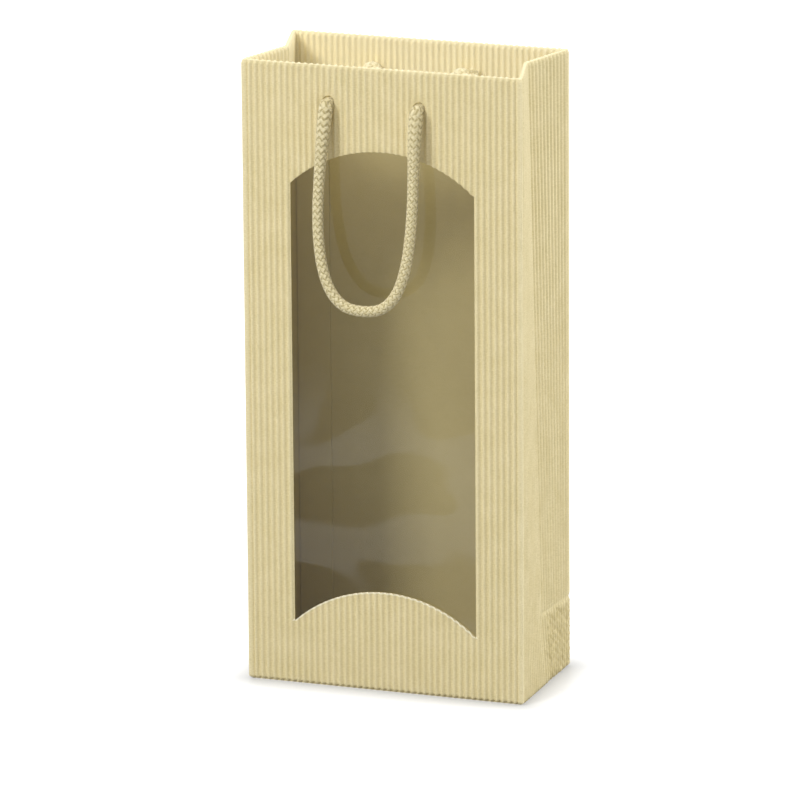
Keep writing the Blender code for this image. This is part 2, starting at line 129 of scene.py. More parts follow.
def run_group(piece, tree, values):
    """Runs a Geometry Nodes group on a piece and keeps its result as a plain mesh."""
    modifier = piece.modifiers.new(tree.name, "NODES")
    modifier.node_group = tree
    for item in tree.interface.items_tree:
        if item.in_out == "INPUT" and item.name in values:
            modifier[item.identifier] = values[item.name]
    return settle(piece)


def linear(colour):
    """An sRGB hex colour as the linear colour that a shader takes."""
    shares = [int(colour[place:place + 2], 16) / 255 for place in (1, 3, 5)]
    return (*[s / 12.92 if s <= 0.04045 else ((s + 0.055) / 1.055) ** 2.4 for s in shares], 1)


# %% [markdown]
# ## Camera
#
# The picture was taken from far off with a long lens, a little to the right of the front and 15 degrees
# above it. The numbers come from the bag's corners in the picture, fitted at a width of 170 mm.

# %% Camera
AZIMUTH, ELEVATION, ROLL = (math.radians(angle) for angle in (19.98, 15.17, -0.42))
DISTANCE, AIM_HEIGHT, AIM_RIGHT = 4.273, 164.5 * MM, -4.56 * MM
SENSOR_WIDTH, FOCAL_LENGTH = 36, 332.0  # in millimetres, as the camera takes them

right = Vector((math.cos(AZIMUTH), math.sin(AZIMUTH), 0))
back = Vector((
    math.sin(AZIMUTH) * math.cos(ELEVATION), -math.cos(AZIMUTH) * math.cos(ELEVATION), math.sin(ELEVATION),
))
up = back.cross(right)
camera = bpy.data.objects.new("camera", bpy.data.cameras.new("camera"))
bpy.context.scene.collection.objects.link(camera)
camera.data.sensor_width = SENSOR_WIDTH
camera.data.lens = FOCAL_LENGTH
camera.data.clip_start, camera.data.clip_end = 0.1, 60
turn = Matrix((
    right * math.cos(ROLL) + up * math.sin(ROLL), up * math.cos(ROLL) - right * math.sin(ROLL), back,
)).transposed()
aim = right * AIM_RIGHT + Vector((0, 0, AIM_HEIGHT))
camera.matrix_world = Matrix.LocRotScale(aim + back * DISTANCE, turn, None)
bpy.context.scene.camera = camera
bpy.context.scene.view_settings.view_transform = "Standard"
print("camera at", [round(value, 3) for value in camera.location])

# %% [markdown]
# ## Light
#
# A studio tent: soft white light from all round, one soft key from the front left, a larger one from the
# right and a little behind, one from above and a weaker one from behind. Area lights have the soft edges of
# a tent's panels, where a sun lamp would draw hard lines between the flutes. The world lights the bag less
# than it shows to the camera, so that the background is white and the paper still has its colour.

# %% Lights
LIGHT_AIM, LIGHT_DISTANCE = 0.18, 3.0


def soft_light(name, around, above, size, power):
    """A square area light that faces the middle of the bag, from degrees round from the front and up."""
    lamp = bpy.data.lights.new(name, "AREA")
    lamp.size, lamp.energy = size, power
    lamp.color = (1, 1, 1)
    light = bpy.data.objects.new(name, lamp)
    bpy.context.scene.collection.objects.link(light)
    a, e = math.radians(around), math.radians(above)
    away = Vector((math.sin(a) * math.cos(e), -math.cos(a) * math.cos(e), math.sin(e)))
    light.matrix_world = Matrix.LocRotScale(
        Vector((0, 0, LIGHT_AIM)) + away * LIGHT_DISTANCE, (-away).to_track_quat("-Z", "Y"), None,
    )


soft_light("key_light", -27, 40, 0.8, 48)
soft_light("side_light", 114, 24, 1.5, 62)
soft_light("top_light", 5, 62, 1.6, 25)
soft_light("back_light", 215, 40, 1.8, 26)
print("area lights:", len(bpy.data.lights))

# %% Tent
TENT, SEEN = 0.37, 1.0

world = bpy.data.worlds.new("studio_tent")
bpy.context.scene.world = world
world.use_nodes = True
tree = world.node_tree
tree.nodes.clear()
tent = add(tree, "ShaderNodeBackground", ((1, 1, 1, 1), TENT))
seen = add(tree, "ShaderNodeBackground", ((1, 1, 1, 1), SEEN))
path = add(tree, "ShaderNodeLightPath").node.outputs
direct = (path["Is Camera Ray"], path["Is Transmission Ray"])
direct = add(tree, "ShaderNodeMath", direct, operation="MAXIMUM")
direct = add(tree, "ShaderNodeMath", (direct, path["Is Glossy Ray"]), operation="MAXIMUM")
mixed = add(tree, "ShaderNodeMixShader", (direct, tent, seen))
add(tree, "ShaderNodeOutputWorld", (mixed,))
print("tent lights the bag at", TENT, "and shows at", SEEN)

# %% [markdown]
# ## Floor
#
# The floor is plain and white, with a trace of gloss. White paint alone would show the wide soft shadow of
# every light, so the floor also glows to the camera, and most of all away from the bag. Only a thin shadow
# is left where the bag stands. A little light comes up where the bag covers the floor, so that its
# underside shows too. From below, the floor is clear.

# %% Floor
FLOOR, FLOOR_REACH = -0.2 * MM, 6
FOOT = (80 * MM, 38 * MM, 0)  # half of what the bag covers, from its middle

floor_mesh = bpy.data.meshes.new("floor")
corners = ((-1, -1), (1, -1), (1, 1), (-1, 1))
floor_mesh.from_pydata([(x * FLOOR_REACH, y * FLOOR_REACH, FLOOR) for x, y in corners], [], [(0, 1, 2, 3)])
floor_paint = bpy.data.materials.new("white_studio_floor_satin")
floor_paint.use_nodes = True
tree = floor_paint.node_tree
tree.nodes.clear()
matt = add(tree, "ShaderNodeBsdfDiffuse", ((0.4, 0.4, 0.395, 1), 0))
sheen = add(tree, "ShaderNodeBsdfGlossy", {"Color": (1, 1, 1, 1), "Roughness": 0.22})
spot = add(tree, "ShaderNodeTexCoord", pick="Object")
away = add(tree, "ShaderNodeVectorMath", {0: spot}, operation="ABSOLUTE")
away = add(tree, "ShaderNodeVectorMath", {0: away, 1: FOOT}, operation="SUBTRACT")
away = add(tree, "ShaderNodeVectorMath", {0: away, 1: (0, 0, 0)}, operation="MAXIMUM")
away = add(tree, "ShaderNodeVectorMath", {0: away}, pick="Value", operation="LENGTH")
white = add(tree, "ShaderNodeMapRange", (away, 5 * MM, 29 * MM, 0.3, 0.9))
under = add(tree, "ShaderNodeMapRange", (away, 0.0, 3 * MM, 0.8, 0.0))
path = add(tree, "ShaderNodeLightPath", pick="Is Camera Ray")
glow = add(tree, "ShaderNodeMath", (path, white, under), operation="MULTIPLY_ADD")
lift = add(tree, "ShaderNodeEmission", ((1, 1, 1, 1), glow))
satin = add(tree, "ShaderNodeMixShader", (0.05, matt, sheen))
shown = add(tree, "ShaderNodeAddShader", (satin, lift))
clear = add(tree, "ShaderNodeBsdfTransparent")
below = add(tree, "ShaderNodeNewGeometry", pick="Backfacing")
add(tree, "ShaderNodeOutputMaterial", (add(tree, "ShaderNodeMixShader", (below, shown, clear)),))
floor = new_piece("floor", floor_mesh, floor_paint)
floor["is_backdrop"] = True
print("floor ready, at mm:", FLOOR / MM)

# %% [markdown]
# ## Papers
#
# Paper is a felt of wood fibres: it has clouds where the pulp lies thicker, streaks of fibres along the
# machine's way, and flecks. A photo of paper would show them too, but noises never repeat and need no
# picture. Each is drawn at its real size: clouds about 14 mm wide, streaks of 0.5 by 2 mm and flecks of
# 1.3 mm. The pressed walls carry three values that the paper reads. How high a place is on its flute sets
# painted shade in the valleys and the crumpled corner. How worn its edges are sets their wear and a painted
# highlight. Whether it is turned in sets painted light there. Every colour is written as sRGB and turned
# linear.

# %% Paper material
CLOUD, FIBRE, FLECK = 14 * MM, 0.55 * MM, 1.3 * MM


def new_material(name, roughness, specular=0.3):
    """A Principled material with its node tree and its shader."""
    material = bpy.data.materials.new(name)
    material.use_nodes = True
    shader = material.node_tree.nodes["Principled BSDF"]
    shader.inputs["Roughness"].default_value = roughness
    shader.inputs["Specular IOR Level"].default_value = specular
    return material, material.node_tree, shader


def paper(name, light, dark, fleck_and_valley_shade, wear_and_light_tone, fibre_way, roughness, fleck, bump=0.02):
    """Paper: clouds of two tones, fibres, flecks, painted shade in valleys, worn edges with a painted
    highlight, and painted light on the turned-in side.
    """
    material, tree, shader = new_material(name, roughness)
    place = add(tree, "ShaderNodeTexCoord", pick="Object")
    along = add(tree, "ShaderNodeMapping", {"Vector": place, "Scale": fibre_way})
    cloud = add(tree, "ShaderNodeTexNoise", {"Vector": place, "Scale": 1 / CLOUD, "Detail": 4.0})
    fibre = add(tree, "ShaderNodeTexNoise", {"Vector": along, "Scale": 1 / FIBRE, "Detail": 3.0})
    speck = add(tree, "ShaderNodeTexNoise", {"Vector": along, "Scale": 1 / FLECK, "Detail": 2.0})
    tone = add(tree, "ShaderNodeMath", (cloud, 0.3), operation="MULTIPLY")
    tone = add(tree, "ShaderNodeMath", (fibre, 0.7, tone), operation="MULTIPLY_ADD")
    tone = add(tree, "ShaderNodeMapRange", (tone, 0.36, 0.64, 0.0, 1.0))
    tones = {0: tone, 6: linear(dark), 7: linear(light)}
    colour = add(tree, "ShaderNodeMix", tones, pick=2, data_type="RGBA")
    flecked = add(tree, "ShaderNodeMapRange", (speck, 0.69, 0.76, 0.0, fleck))
    # Painted shade: the valleys, and most of all the crumpled corner, are mixed towards the valley colour
    flute_shade = add(tree, "ShaderNodeAttribute", pick="Fac", attribute_name="flute_shade")
    low = add(tree, "ShaderNodeMapRange", (flute_shade, -1.0, 0.6, 0.6, 0.0))
    layers = [(flecked, fleck_and_valley_shade), (low, fleck_and_valley_shade)]
    # The pale tone is wear with a painted highlight on rims and edges, and painted light on the turned-in
    # side
    for label, most in (("wear_and_highlight", 0.8), ("turned_in_painted_light", 0.65)):
        share = add(tree, "ShaderNodeAttribute", pick="Fac", attribute_name=label)
        layers.append((add(tree, "ShaderNodeMath", (share, most), operation="MULTIPLY"), wear_and_light_tone))
    for share, over in layers:
        colour = add(tree, "ShaderNodeMix", {0: share, 6: colour, 7: linear(over)}, pick=2, data_type="RGBA")
    tree.links.new(colour, shader.inputs["Base Color"])
    height = add(tree, "ShaderNodeMath", (fibre, 0.6, cloud), operation="MULTIPLY_ADD")
    relief = add(tree, "ShaderNodeBump", {"Strength": 0.5, "Distance": bump * MM, "Height": height})
    tree.links.new(relief, shader.inputs["Normal"])
    return material


# %% The four papers
# Dyed fluting paper: a warm matt cream with olive painted shade in the valleys, and fine level fibres across
# them
flute_paper = paper(
    "pressed_cream_paper_matt", "#ECDFB5", "#DCCE9D", "#BFAE76", "#F6ECC8", (0.3, 0.3, 1), 0.72, 0.2, 0.045,
)
# The paper's own torn and cut edge: undyed in its middle, so that it reads as a thin pale line
cut_edge = paper("cut_paper_edge_raw", "#F8EFD0", "#EDE0B8", "#F0E4BC", "#FBF3D6", (1, 1, 1), 0.85, 0.2)
# Machine-finished liner: smoother, flatter and greyer than the fluting, with level clouds and flecks
liner_paper = paper(
    "smooth_liner_paper_matt", "#D8C996", "#CFC08C", "#BDAD78", "#EFE4BC", (0.25, 0.25, 2), 0.8, 0.3, 0.002,
)
# Greyboard of the insert: coarse grey-brown fibres in all directions, fully matt
greyboard = paper(
    "greyboard_matt", "#A89A7C", "#8D8064", "#6D6248", "#B5A88A", (1, 1, 1), 0.92, 0.8, 0.03,
)
print("papers ready")

# %% [markdown]
# ## Clear film
#
# The window's film is clear plastic, drawn out thin, and smooth enough to shine. A shader for glass would
# bend the light, as a thick pane does, and a film doesn't, so a Transparent shader is mixed with a sharp
# Glossy one. The more the look grazes the film, the more gloss shows.

# %% Clear film
REFLECTION_PATCH, REFLECTION_PATCH_TOP = 75 * MM, (140 * MM, 200 * MM)

# Thin film: nearly all light goes straight through, a grazing look shows a soft gloss, and low on the film
# faint patches with soft wavy edges are painted reflections
film_clear = bpy.data.materials.new("clear_film_gloss")
film_clear.use_nodes = True
tree = film_clear.node_tree
tree.nodes.clear()
through = add(tree, "ShaderNodeBsdfTransparent", ((0.94, 0.94, 0.925, 1),))
gloss = add(tree, "ShaderNodeBsdfGlossy", {"Color": (1, 1, 1, 1), "Roughness": 0.05})
spot = add(tree, "ShaderNodeTexCoord", pick="Object")
wide = add(tree, "ShaderNodeMapping", {"Vector": spot, "Scale": (1, 1, 1.7)})
waves = {"Vector": wide, "Scale": 1 / REFLECTION_PATCH, "Detail": 0.0, "Distortion": 0.9}
waves = add(tree, "ShaderNodeTexNoise", waves)
# Painted reflection: soft wavy patches low on the film take more of the gloss
reflection_patch = add(tree, "ShaderNodeMapRange", (waves, 0.47, 0.53, 0.0, 0.035), **SMOOTH)
height = add(tree, "ShaderNodeSeparateXYZ", (spot,)).node.outputs[2]
low_part = add(tree, "ShaderNodeMapRange", (height, *REFLECTION_PATCH_TOP, 1.0, 0.0), **SMOOTH)
reflection_patch = add(tree, "ShaderNodeMath", (reflection_patch, low_part), operation="MULTIPLY")
grazing = add(tree, "ShaderNodeLayerWeight", (0.5,), pick="Facing")
grazing = add(tree, "ShaderNodeMath", (grazing, 5.0), operation="POWER")
shine = add(tree, "ShaderNodeMath", (grazing, 0.9, 0.022), operation="MULTIPLY_ADD")
shine = add(tree, "ShaderNodeMath", (shine, reflection_patch), operation="ADD")
add(tree, "ShaderNodeOutputMaterial", (add(tree, "ShaderNodeMixShader", (shine, through, gloss)),))
print("film ready:", len(tree.nodes), "nodes")

# %% [markdown]
# ## Cotton
#
# The cords are braided from spun cotton. It scatters light and has a fine fuzz, so it is fully rough with a
# little sheen. Its yarns run along each strand, and strands wind round the cord, so no pattern in space
# could follow them. The braid therefore stores how far round and how far along its strand each point is,
# and the noise reads these. A yarn's tone changes about every 2 mm.

# %% Cotton
YARN = 2.2 * MM


def cotton_yarn(name, dark, light, gap_shade):
    """Spun cotton: soft cream on top of each strand, with painted shade down in the gaps, and fine yarn
    lines.
    """
    material, tree, shader = new_material(name, 0.9, 0.15)
    around, run, number = (
        add(tree, "ShaderNodeAttribute", pick="Fac", attribute_name=f"strand_{label}")
        for label in ("round", "run", "number")
    )
    angle = add(tree, "ShaderNodeMath", (around, 2 * math.pi), operation="MULTIPLY")
    facing = add(tree, "ShaderNodeMath", (angle,), operation="COSINE")
    # Painted shade: each strand turns to the gap colour where it faces down into the braid
    gap_shade_share = add(tree, "ShaderNodeMapRange", (facing, 1.0, -0.2, 0.0, 1.0))
    spot = add(tree, "ShaderNodeCombineXYZ", (around, run, number))
    spread = add(tree, "ShaderNodeMapping", {"Vector": spot, "Scale": (11, 1 / YARN, 1.7)})
    yarn = add(tree, "ShaderNodeTexNoise", {"Vector": spread, "Scale": 1.0, "Detail": 3.0})
    tone = add(tree, "ShaderNodeMapRange", (yarn, 0.3, 0.7, 0.0, 1.0))
    tones = {0: tone, 6: linear(dark), 7: linear(light)}
    colour = add(tree, "ShaderNodeMix", tones, pick=2, data_type="RGBA")
    colour = add(tree, "ShaderNodeMix", {0: gap_shade_share, 6: colour, 7: linear(gap_shade)}, pick=2, data_type="RGBA")
    tree.links.new(colour, shader.inputs["Base Color"])
    shader.inputs["Sheen Weight"].default_value = 0.25
    shader.inputs["Sheen Roughness"].default_value = 0.6
    relief = add(tree, "ShaderNodeBump", {"Strength": 0.7, "Distance": 0.12 * MM, "Height": yarn})
    tree.links.new(relief, shader.inputs["Normal"])
    return material


# Braided handle cord: cream strands that catch the light, over olive painted shade in the gaps
cotton = cotton_yarn("braided_cotton_soft", "#D8CB9C", "#EDE2BC", "#B3A475")
# The same cord pulled tight in a knot and at its frayed ends: its gaps close, so it looks smoother, and its
# colours are lighter still as painted light inside the bag
knot_cotton_lit = cotton_yarn("knotted_cotton_painted_light", "#EFE5BF", "#FBF2D0", "#E2D6AC")

# The braid's filler: a core made dark matt olive as painted shade, seen only in the gaps between the strands
core_shade, tree, shader = new_material("cord_core_painted_shade", 1.0, 0.0)
shader.inputs["Base Color"].default_value = linear("#8C7B4E")
print("cottons ready:", cotton.name, "and", knot_cotton_lit.name)

# %% [markdown]
# ## Cord handles
#
# Each handle is one braided cotton cord, 6.5 mm thick. It comes out of its left hole, bends straight down
# over the hole's edge, hangs in a loop that leans away from the wall, and goes back in at the right. Inside,
# each end stops at a knot. A braid this thick doesn't hang as a chain does: its loop is full and nearly
# round at the bottom. The formula below gives that form, and it is the one that the frame's solids follow.

# %% Cord routes
CORD = 6.5 * MM
HOLE_MIDDLE, HALF_SPACING = -4.5 * MM, 27.4 * MM
CORD_HEIGHT, SWING_AXIS = 347.55 * MM, 46.05 * MM
LOOP_DROP, LOOP_LEAN = 115.3 * MM, 16 * MM
OVER_EDGE = 3.3 * MM
IN_WALL = (36.2 * MM, 39.5 * MM)
BEND_STEPS, STATIONS = 6, 12


def smooth_line(route, spacing):
    """Evenly spaced points on the smooth curve through a route's own points."""
    route = np.array(route, float)
    padded = np.vstack([2 * route[0] - route[1], route, 2 * route[-1] - route[-2]])
    share = np.linspace(0, 1, 16, endpoint=False)[:, None]
    runs = [
        here + share * (there - before + share * (2 * before - 5 * here + 4 * there - after
        + share * (3 * here - 3 * there + after - before))) / 2
        for before, here, there, after in zip(padded, padded[1:], padded[2:], padded[3:])
    ]
    fine = np.vstack([*runs, route[-1:]])
    lengths = np.concatenate([[0], np.cumsum(np.linalg.norm(np.diff(fine, axis=0), axis=1))])
    count = round(lengths[-1] / spacing)
    goals = np.linspace(0, lengths[-1], count + 1)
    return np.column_stack([np.interp(goals, lengths, fine[:, axis]) for axis in range(3)])


def handle_line(outward):
    """One handle's whole visible cord: out of the left hole, round the hanging loop and in at the right."""
    def over_edge(x):
        bend = [(x, outward * depth, CORD_HEIGHT) for depth in IN_WALL]
        for step in range(BEND_STEPS):
            angle = math.pi / 2 * step / BEND_STEPS
            y = SWING_AXIS - OVER_EDGE + OVER_EDGE * math.sin(angle)
            bend.append((x, outward * y, CORD_HEIGHT - OVER_EDGE * (1 - math.cos(angle))))
        return bend

    drops = [math.sin(math.pi / 2 * step / STATIONS) for step in range(1, STATIONS + 1)]
    hanging = []
    for way, run in ((-1, drops), (1, drops[-2::-1])):
        for drop in run:
            middle = math.sin(math.pi * drop)
            across = way * ((1 - drop ** 6) ** 0.4 + 0.045 * middle ** 2) - 0.035 * middle
            hanging.append((
                HOLE_MIDDLE + across * HALF_SPACING, outward * (SWING_AXIS + LOOP_LEAN * drop ** 0.9),
                CORD_HEIGHT - LOOP_DROP * drop,
            ))
    left, right_end = over_edge(HOLE_MIDDLE - HALF_SPACING), over_edge(HOLE_MIDDLE + HALF_SPACING)
    return smooth_line(left + hanging + right_end[::-1], 1.2 * MM)


def line_length(line):
    return float(np.linalg.norm(np.diff(line, axis=0), axis=1).sum())


lines = {side: handle_line(outward) for side, outward in (("front", -1), ("back", 1))}
print("cord between knots, mm:", {side: round(line_length(line) / MM, 1) for side, line in lines.items()})

# %% [markdown]
# ## Braiding
#
# Twelve strands wind round the cord, six each way, and each goes over one and under the next. A bump
# pattern on a tube would keep a smooth outline, so the strands are real. The group copies the cord's line
# twelve times, and each copy gets a normal that turns round the line at its own angle.

# %% Strand lines
braid, given = new_group(
    "braid_strands", Int=["Strands each way"], Material=["Yarn", "Filler"], Float=[
        "Radius", "Lay", "Weave", "Strand width", "Strand thickness", "Filler radius", "Spacing", "Swell",
    ],
)
line = add(braid, "GeometryNodeMeshToCurve", (given["Geometry"],))
line = add(braid, "GeometryNodeResampleCurve", {"Curve": line, "Length": given["Spacing"]}, mode="LENGTH")
count = add(braid, "ShaderNodeMath", (given["Strands each way"], 2.0), operation="MULTIPLY")
copies = add(braid, "GeometryNodeDuplicateElements", {"Geometry": line, "Amount": count}, domain="SPLINE")
number = copies.node.outputs["Duplicate Index"]
run = add(braid, "GeometryNodeSplineParameter", pick="Length")
share = add(braid, "ShaderNodeMath", (number, given["Strands each way"]), operation="DIVIDE")
half = add(braid, "ShaderNodeMath", (share,), operation="FLOOR")
way = add(braid, "ShaderNodeMath", (half, -2.0, 1.0), operation="MULTIPLY_ADD")
turns = add(braid, "ShaderNodeMath", (run, given["Lay"]), operation="DIVIDE")
turns = add(braid, "ShaderNodeMath", (turns, way, share), operation="MULTIPLY_ADD")
angle = add(braid, "ShaderNodeMath", (turns, 2 * math.pi), operation="MULTIPLY")
tangent = add(braid, "GeometryNodeInputTangent")
normal = add(braid, "GeometryNodeInputNormal")
outward = add(
    braid, "ShaderNodeVectorRotate", {"Vector": normal, "Axis": tangent, "Angle": angle},
    rotation_type="AXIS_ANGLE",
)
for label, value in (("strand_run", run), ("strand_number", number)):
    stored = {"Geometry": copies, "Name": label, "Value": value}
    copies = add(braid, "GeometryNodeStoreNamedAttribute", stored, domain="POINT")
copies = add(braid, "GeometryNodeSetCurveNormal", {"Curve": copies, "Normal": outward}, mode="FREE")
print("strand lines:", len(braid.nodes), "nodes")

# %% [markdown]
# ### Over and under
#
# A strand rises over one crossing strand and dips under the next, so it makes one wave for every two that it
# meets. A cosine along the cord does that, and the strands that wind the other way take its opposite, so one
# is up wherever the other is down. Just outside its holes the cord is fuller, because nothing pulls it tight
# there, and inside them it keeps its size.

# %% Weave and swell
FULLER_FROM_END, IN_HOLE = (14 * MM, 56 * MM), (6 * MM, 12 * MM)

beat = add(braid, "ShaderNodeMath", (run, given["Lay"]), operation="DIVIDE")
for factor in (given["Strands each way"], 2 * math.pi):
    beat = add(braid, "ShaderNodeMath", (beat, factor), operation="MULTIPLY")
beat = add(braid, "ShaderNodeMath", (beat,), operation="COSINE")
beat = add(braid, "ShaderNodeMath", (beat, way), operation="MULTIPLY")
whole = add(braid, "GeometryNodeSplineLength", pick="Length")
rest = add(braid, "ShaderNodeMath", (whole, run), operation="SUBTRACT")
near_end = add(braid, "ShaderNodeMath", (run, rest), operation="MINIMUM")
fuller = add(braid, "ShaderNodeMapRange", (near_end, *FULLER_FROM_END, given["Swell"], 0.0), **SMOOTH)
in_hole = add(braid, "ShaderNodeMapRange", (near_end, *IN_HOLE, 0.0, 1.0), **SMOOTH)
plumper = add(braid, "ShaderNodeMath", (fuller, in_hole, 1.0), operation="MULTIPLY_ADD")
fuller = add(braid, "ShaderNodeMath", (plumper, given["Radius"]), operation="MULTIPLY")
reach = add(braid, "ShaderNodeMath", (beat, given["Weave"], fuller), operation="MULTIPLY_ADD")
radial = add(braid, "GeometryNodeInputNormal")
offset = add(braid, "ShaderNodeVectorMath", {0: radial, "Scale": reach}, operation="SCALE")
copies = add(braid, "GeometryNodeSetPosition", {"Geometry": copies, "Offset": offset})
print("with their weave:", len(braid.nodes), "nodes")

# %% [markdown]
# ### Strands and filler
#
# A strand is a flat bundle of yarns, so an oval is swept along its line. The oval grows with the cord, or
# gaps would open where the cord is fuller. The filler is one plain tube, dark as painted shade, that shows
# between the strands.

# %% Strands and filler
oval = add(braid, "GeometryNodeCurvePrimitiveCircle", {"Resolution": 8, "Radius": 0.5}, mode="RADIUS")
round_share = add(braid, "GeometryNodeSplineParameter", pick="Factor")
stored = {"Geometry": oval, "Name": "strand_round", "Value": round_share}
oval = add(braid, "GeometryNodeStoreNamedAttribute", stored, domain="POINT")
section = add(braid, "ShaderNodeCombineXYZ", (given["Strand thickness"], given["Strand width"], 1.0))
oval = add(braid, "GeometryNodeTransform", {"Geometry": oval, "Scale": section})
strands = add(
    braid, "GeometryNodeCurveToMesh",
    {"Curve": copies, "Profile Curve": oval, "Scale": plumper, "Fill Caps": True},
)
strands = add(braid, "GeometryNodeSetMaterial", {"Geometry": strands, "Material": given["Yarn"]})
ring = add(braid, "GeometryNodeCurvePrimitiveCircle", {"Resolution": 12, "Radius": given["Filler radius"]})
inside = add(braid, "GeometryNodeCurveToMesh", {"Curve": line, "Profile Curve": ring, "Fill Caps": True})
inside = add(braid, "GeometryNodeSetMaterial", {"Geometry": inside, "Material": given["Filler"]})
both = add(braid, "GeometryNodeJoinGeometry")
braid.links.new(strands, both.node.inputs[0])
braid.links.new(inside, both.node.inputs[0])
both = add(braid, "GeometryNodeRealizeInstances", (both,))
both = add(braid, "GeometryNodeSetShadeSmooth", {"Geometry": both, "Shade Smooth": True})
add(braid, "NodeGroupOutput", (both,))


def braided(name, line, size, strand_width, lay, yarn, core, swell=0.0):
    """A braided cord of this size along a line, fuller by the swell just outside its holes."""
    mesh = bpy.data.meshes.new(name)
    mesh.from_pydata([tuple(point) for point in line], [(i, i + 1) for i in range(len(line) - 1)], [])
    thickness = 0.17 * size
    weave = 0.055 * size
    piece = run_group(new_piece(name, mesh), braid, {
        "Radius": size / 2 - thickness / 2 - weave, "Lay": lay, "Weave": weave, "Strand width": strand_width,
        "Strand thickness": thickness, "Filler radius": 0.36 * size, "Spacing": 0.5 * MM, "Swell": swell,
        "Strands each way": 6, "Yarn": yarn, "Filler": core,
    })
    return piece


# %% [markdown]
# ## Knots
#
# An overhand knot keeps each cord end inside the bag. It could be tied by a simulation, but a formula is
# surer: while the line goes twice round the knot's middle, its reach swells three times and it rises and
# falls three times, which makes the three lobes. The line starts at the wall and ends in a short tail.

# %% Knot lines
KNOT_DEPTH, KNOT_RING, KNOT_LOBE, KNOT_RISE = 33.7 * MM, 3.9 * MM, 2.0 * MM, 2.4 * MM
KNOT_START, KNOT_STEPS = 3.65 * MM, 40


def knot_line(x, outward, tail_up):
    """An overhand knot about the hole's line: in from the wall, round its three lobes, and down or up."""
    centre = np.array((x, outward * KNOT_DEPTH, CORD_HEIGHT))
    route = [centre + (0, outward * KNOT_START, 0)]
    for step in range(2, KNOT_STEPS - 1):
        turn = 2 * math.pi * step / KNOT_STEPS
        reach = KNOT_RING + KNOT_LOBE * math.cos(3 * turn)
        route.append(centre + (
            reach * math.cos(2 * turn), -outward * KNOT_RISE * math.sin(3 * turn),
            reach * math.sin(2 * turn),
        ))
    last = route[-1]
    tail = ((3.2, 0, 3), (2.4, 0, 8)) if tail_up else ((1.2, 0, -7.5), (0, 0, -15))
    route += [last + np.array(step) * MM for step in tail]
    return smooth_line(route, 0.8 * MM)


# %% [markdown]
# ### Frayed ends
#
# A cut braid opens into its yarns. Hair could draw them too, but a mesh is what every other program reads,
# so each yarn is a thin four-sided tube that bends outwards, and a fixed seed spreads them.

# %% Frayed ends
YARNS, YARN_RADIUS, YARN_START = 30, 0.26 * MM, 0.7 * MM


def frayed_end(name, line):
    """Loose yarns that spread from a cord's cut end, each a thin bent tube that narrows to its tip."""
    draw = np.random.default_rng(7)
    end, way = line[-1], line[-1] - line[-3]
    way = way / np.linalg.norm(way)
    bm = bmesh.new()
    for _ in range(YARNS):
        out = draw.normal(size=3)
        out -= way * (out @ way)
        out /= np.linalg.norm(out)
        reach, spread = draw.uniform(3, 5.5) * MM, draw.uniform(0.3, 2.6) * MM
        side = np.cross(way, out)
        rings = []
        for step in range(6):
            share = step / 5
            middle = end + way * (share * reach - 1.5 * MM) + out * (YARN_START + spread * share ** 1.6)
            size = YARN_RADIUS * (1 - 0.6 * share)
            rings.append([
                bm.verts.new(middle + size * (math.cos(a) * out + math.sin(a) * side))
                for a in (0, math.pi / 2, math.pi, 3 * math.pi / 2)
            ])
        bm.faces.new(rings[0][::-1])
        bm.faces.new(rings[-1])
        for low, high in zip(rings, rings[1:]):
            for place in range(4):
                after = (place + 1) % 4
                bm.faces.new((low[place], low[after], high[after], high[place]))
    bmesh.ops.recalc_face_normals(bm, faces=bm.faces)
    mesh = bpy.data.meshes.new(name)
    bm.to_mesh(mesh)
    bm.free()
    mesh.shade_smooth()
    piece = new_piece(name, mesh, knot_cotton_lit)
    return piece


# %% [markdown]
# ## Handles
#
# Each handle's knots and frayed ends stay with the bag. A real cord bends where it leaves the hole, as the
# route does over the hole's edge.

# %% Handles and knots
KNOT_CORD, KNOT_STRAND, KNOT_LAY = 5.0 * MM, 2.7 * MM, 18 * MM
HANDLE_STRAND, HANDLE_LAY, HANDLE_SWELL = 3.3 * MM, 23 * MM, 0.34
BLEND_START, BLEND_RUN = 42.8 * MM, 5 * MM

for side, outward in (("front", -1), ("back", 1)):
    knots = []
    for end, way in (("left", -1), ("right", 1)):
        name = f"{side}_knot_{end}"
        x = HOLE_MIDDLE + way * HALF_SPACING
        line = knot_line(x, outward, (side, end) == ("back", "right"))
        knot = braided(
            f"{name}_cotton", line, KNOT_CORD, KNOT_STRAND, KNOT_LAY, knot_cotton_lit, knot_cotton_lit,
        )
        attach(knot, "bag")
        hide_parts(name)
        tuft = frayed_end(f"{name}_tuft", line)
        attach(tuft, "bag")
        knots += [knot, tuft]
    handle = braided(
        f"{side}_handle_cord", lines[side], CORD, HANDLE_STRAND, HANDLE_LAY, cotton, core_shade, HANDLE_SWELL,
    )
    start = Vector((HOLE_MIDDLE, outward * BLEND_START, CORD_HEIGHT))
    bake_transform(handle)
    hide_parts(f"{side}_handle_loop", f"{side}_cord_end_left", f"{side}_cord_end_right")
    print(side, "handle:", len(handle.data.polygons), "faces")

# %% [markdown]
# ## Pressing the flutes
#
# Each wall starts as a flat strip of paper, as long as the wall is wide and as high as the wall and its
# turned-in top together, just as real board is fluted before it is folded. The group presses the flutes by
# lifting points of the strip. A displacement at render time would do as much, but only real flutes give the
# cut edges of the window their wavy line. The sizes come first.

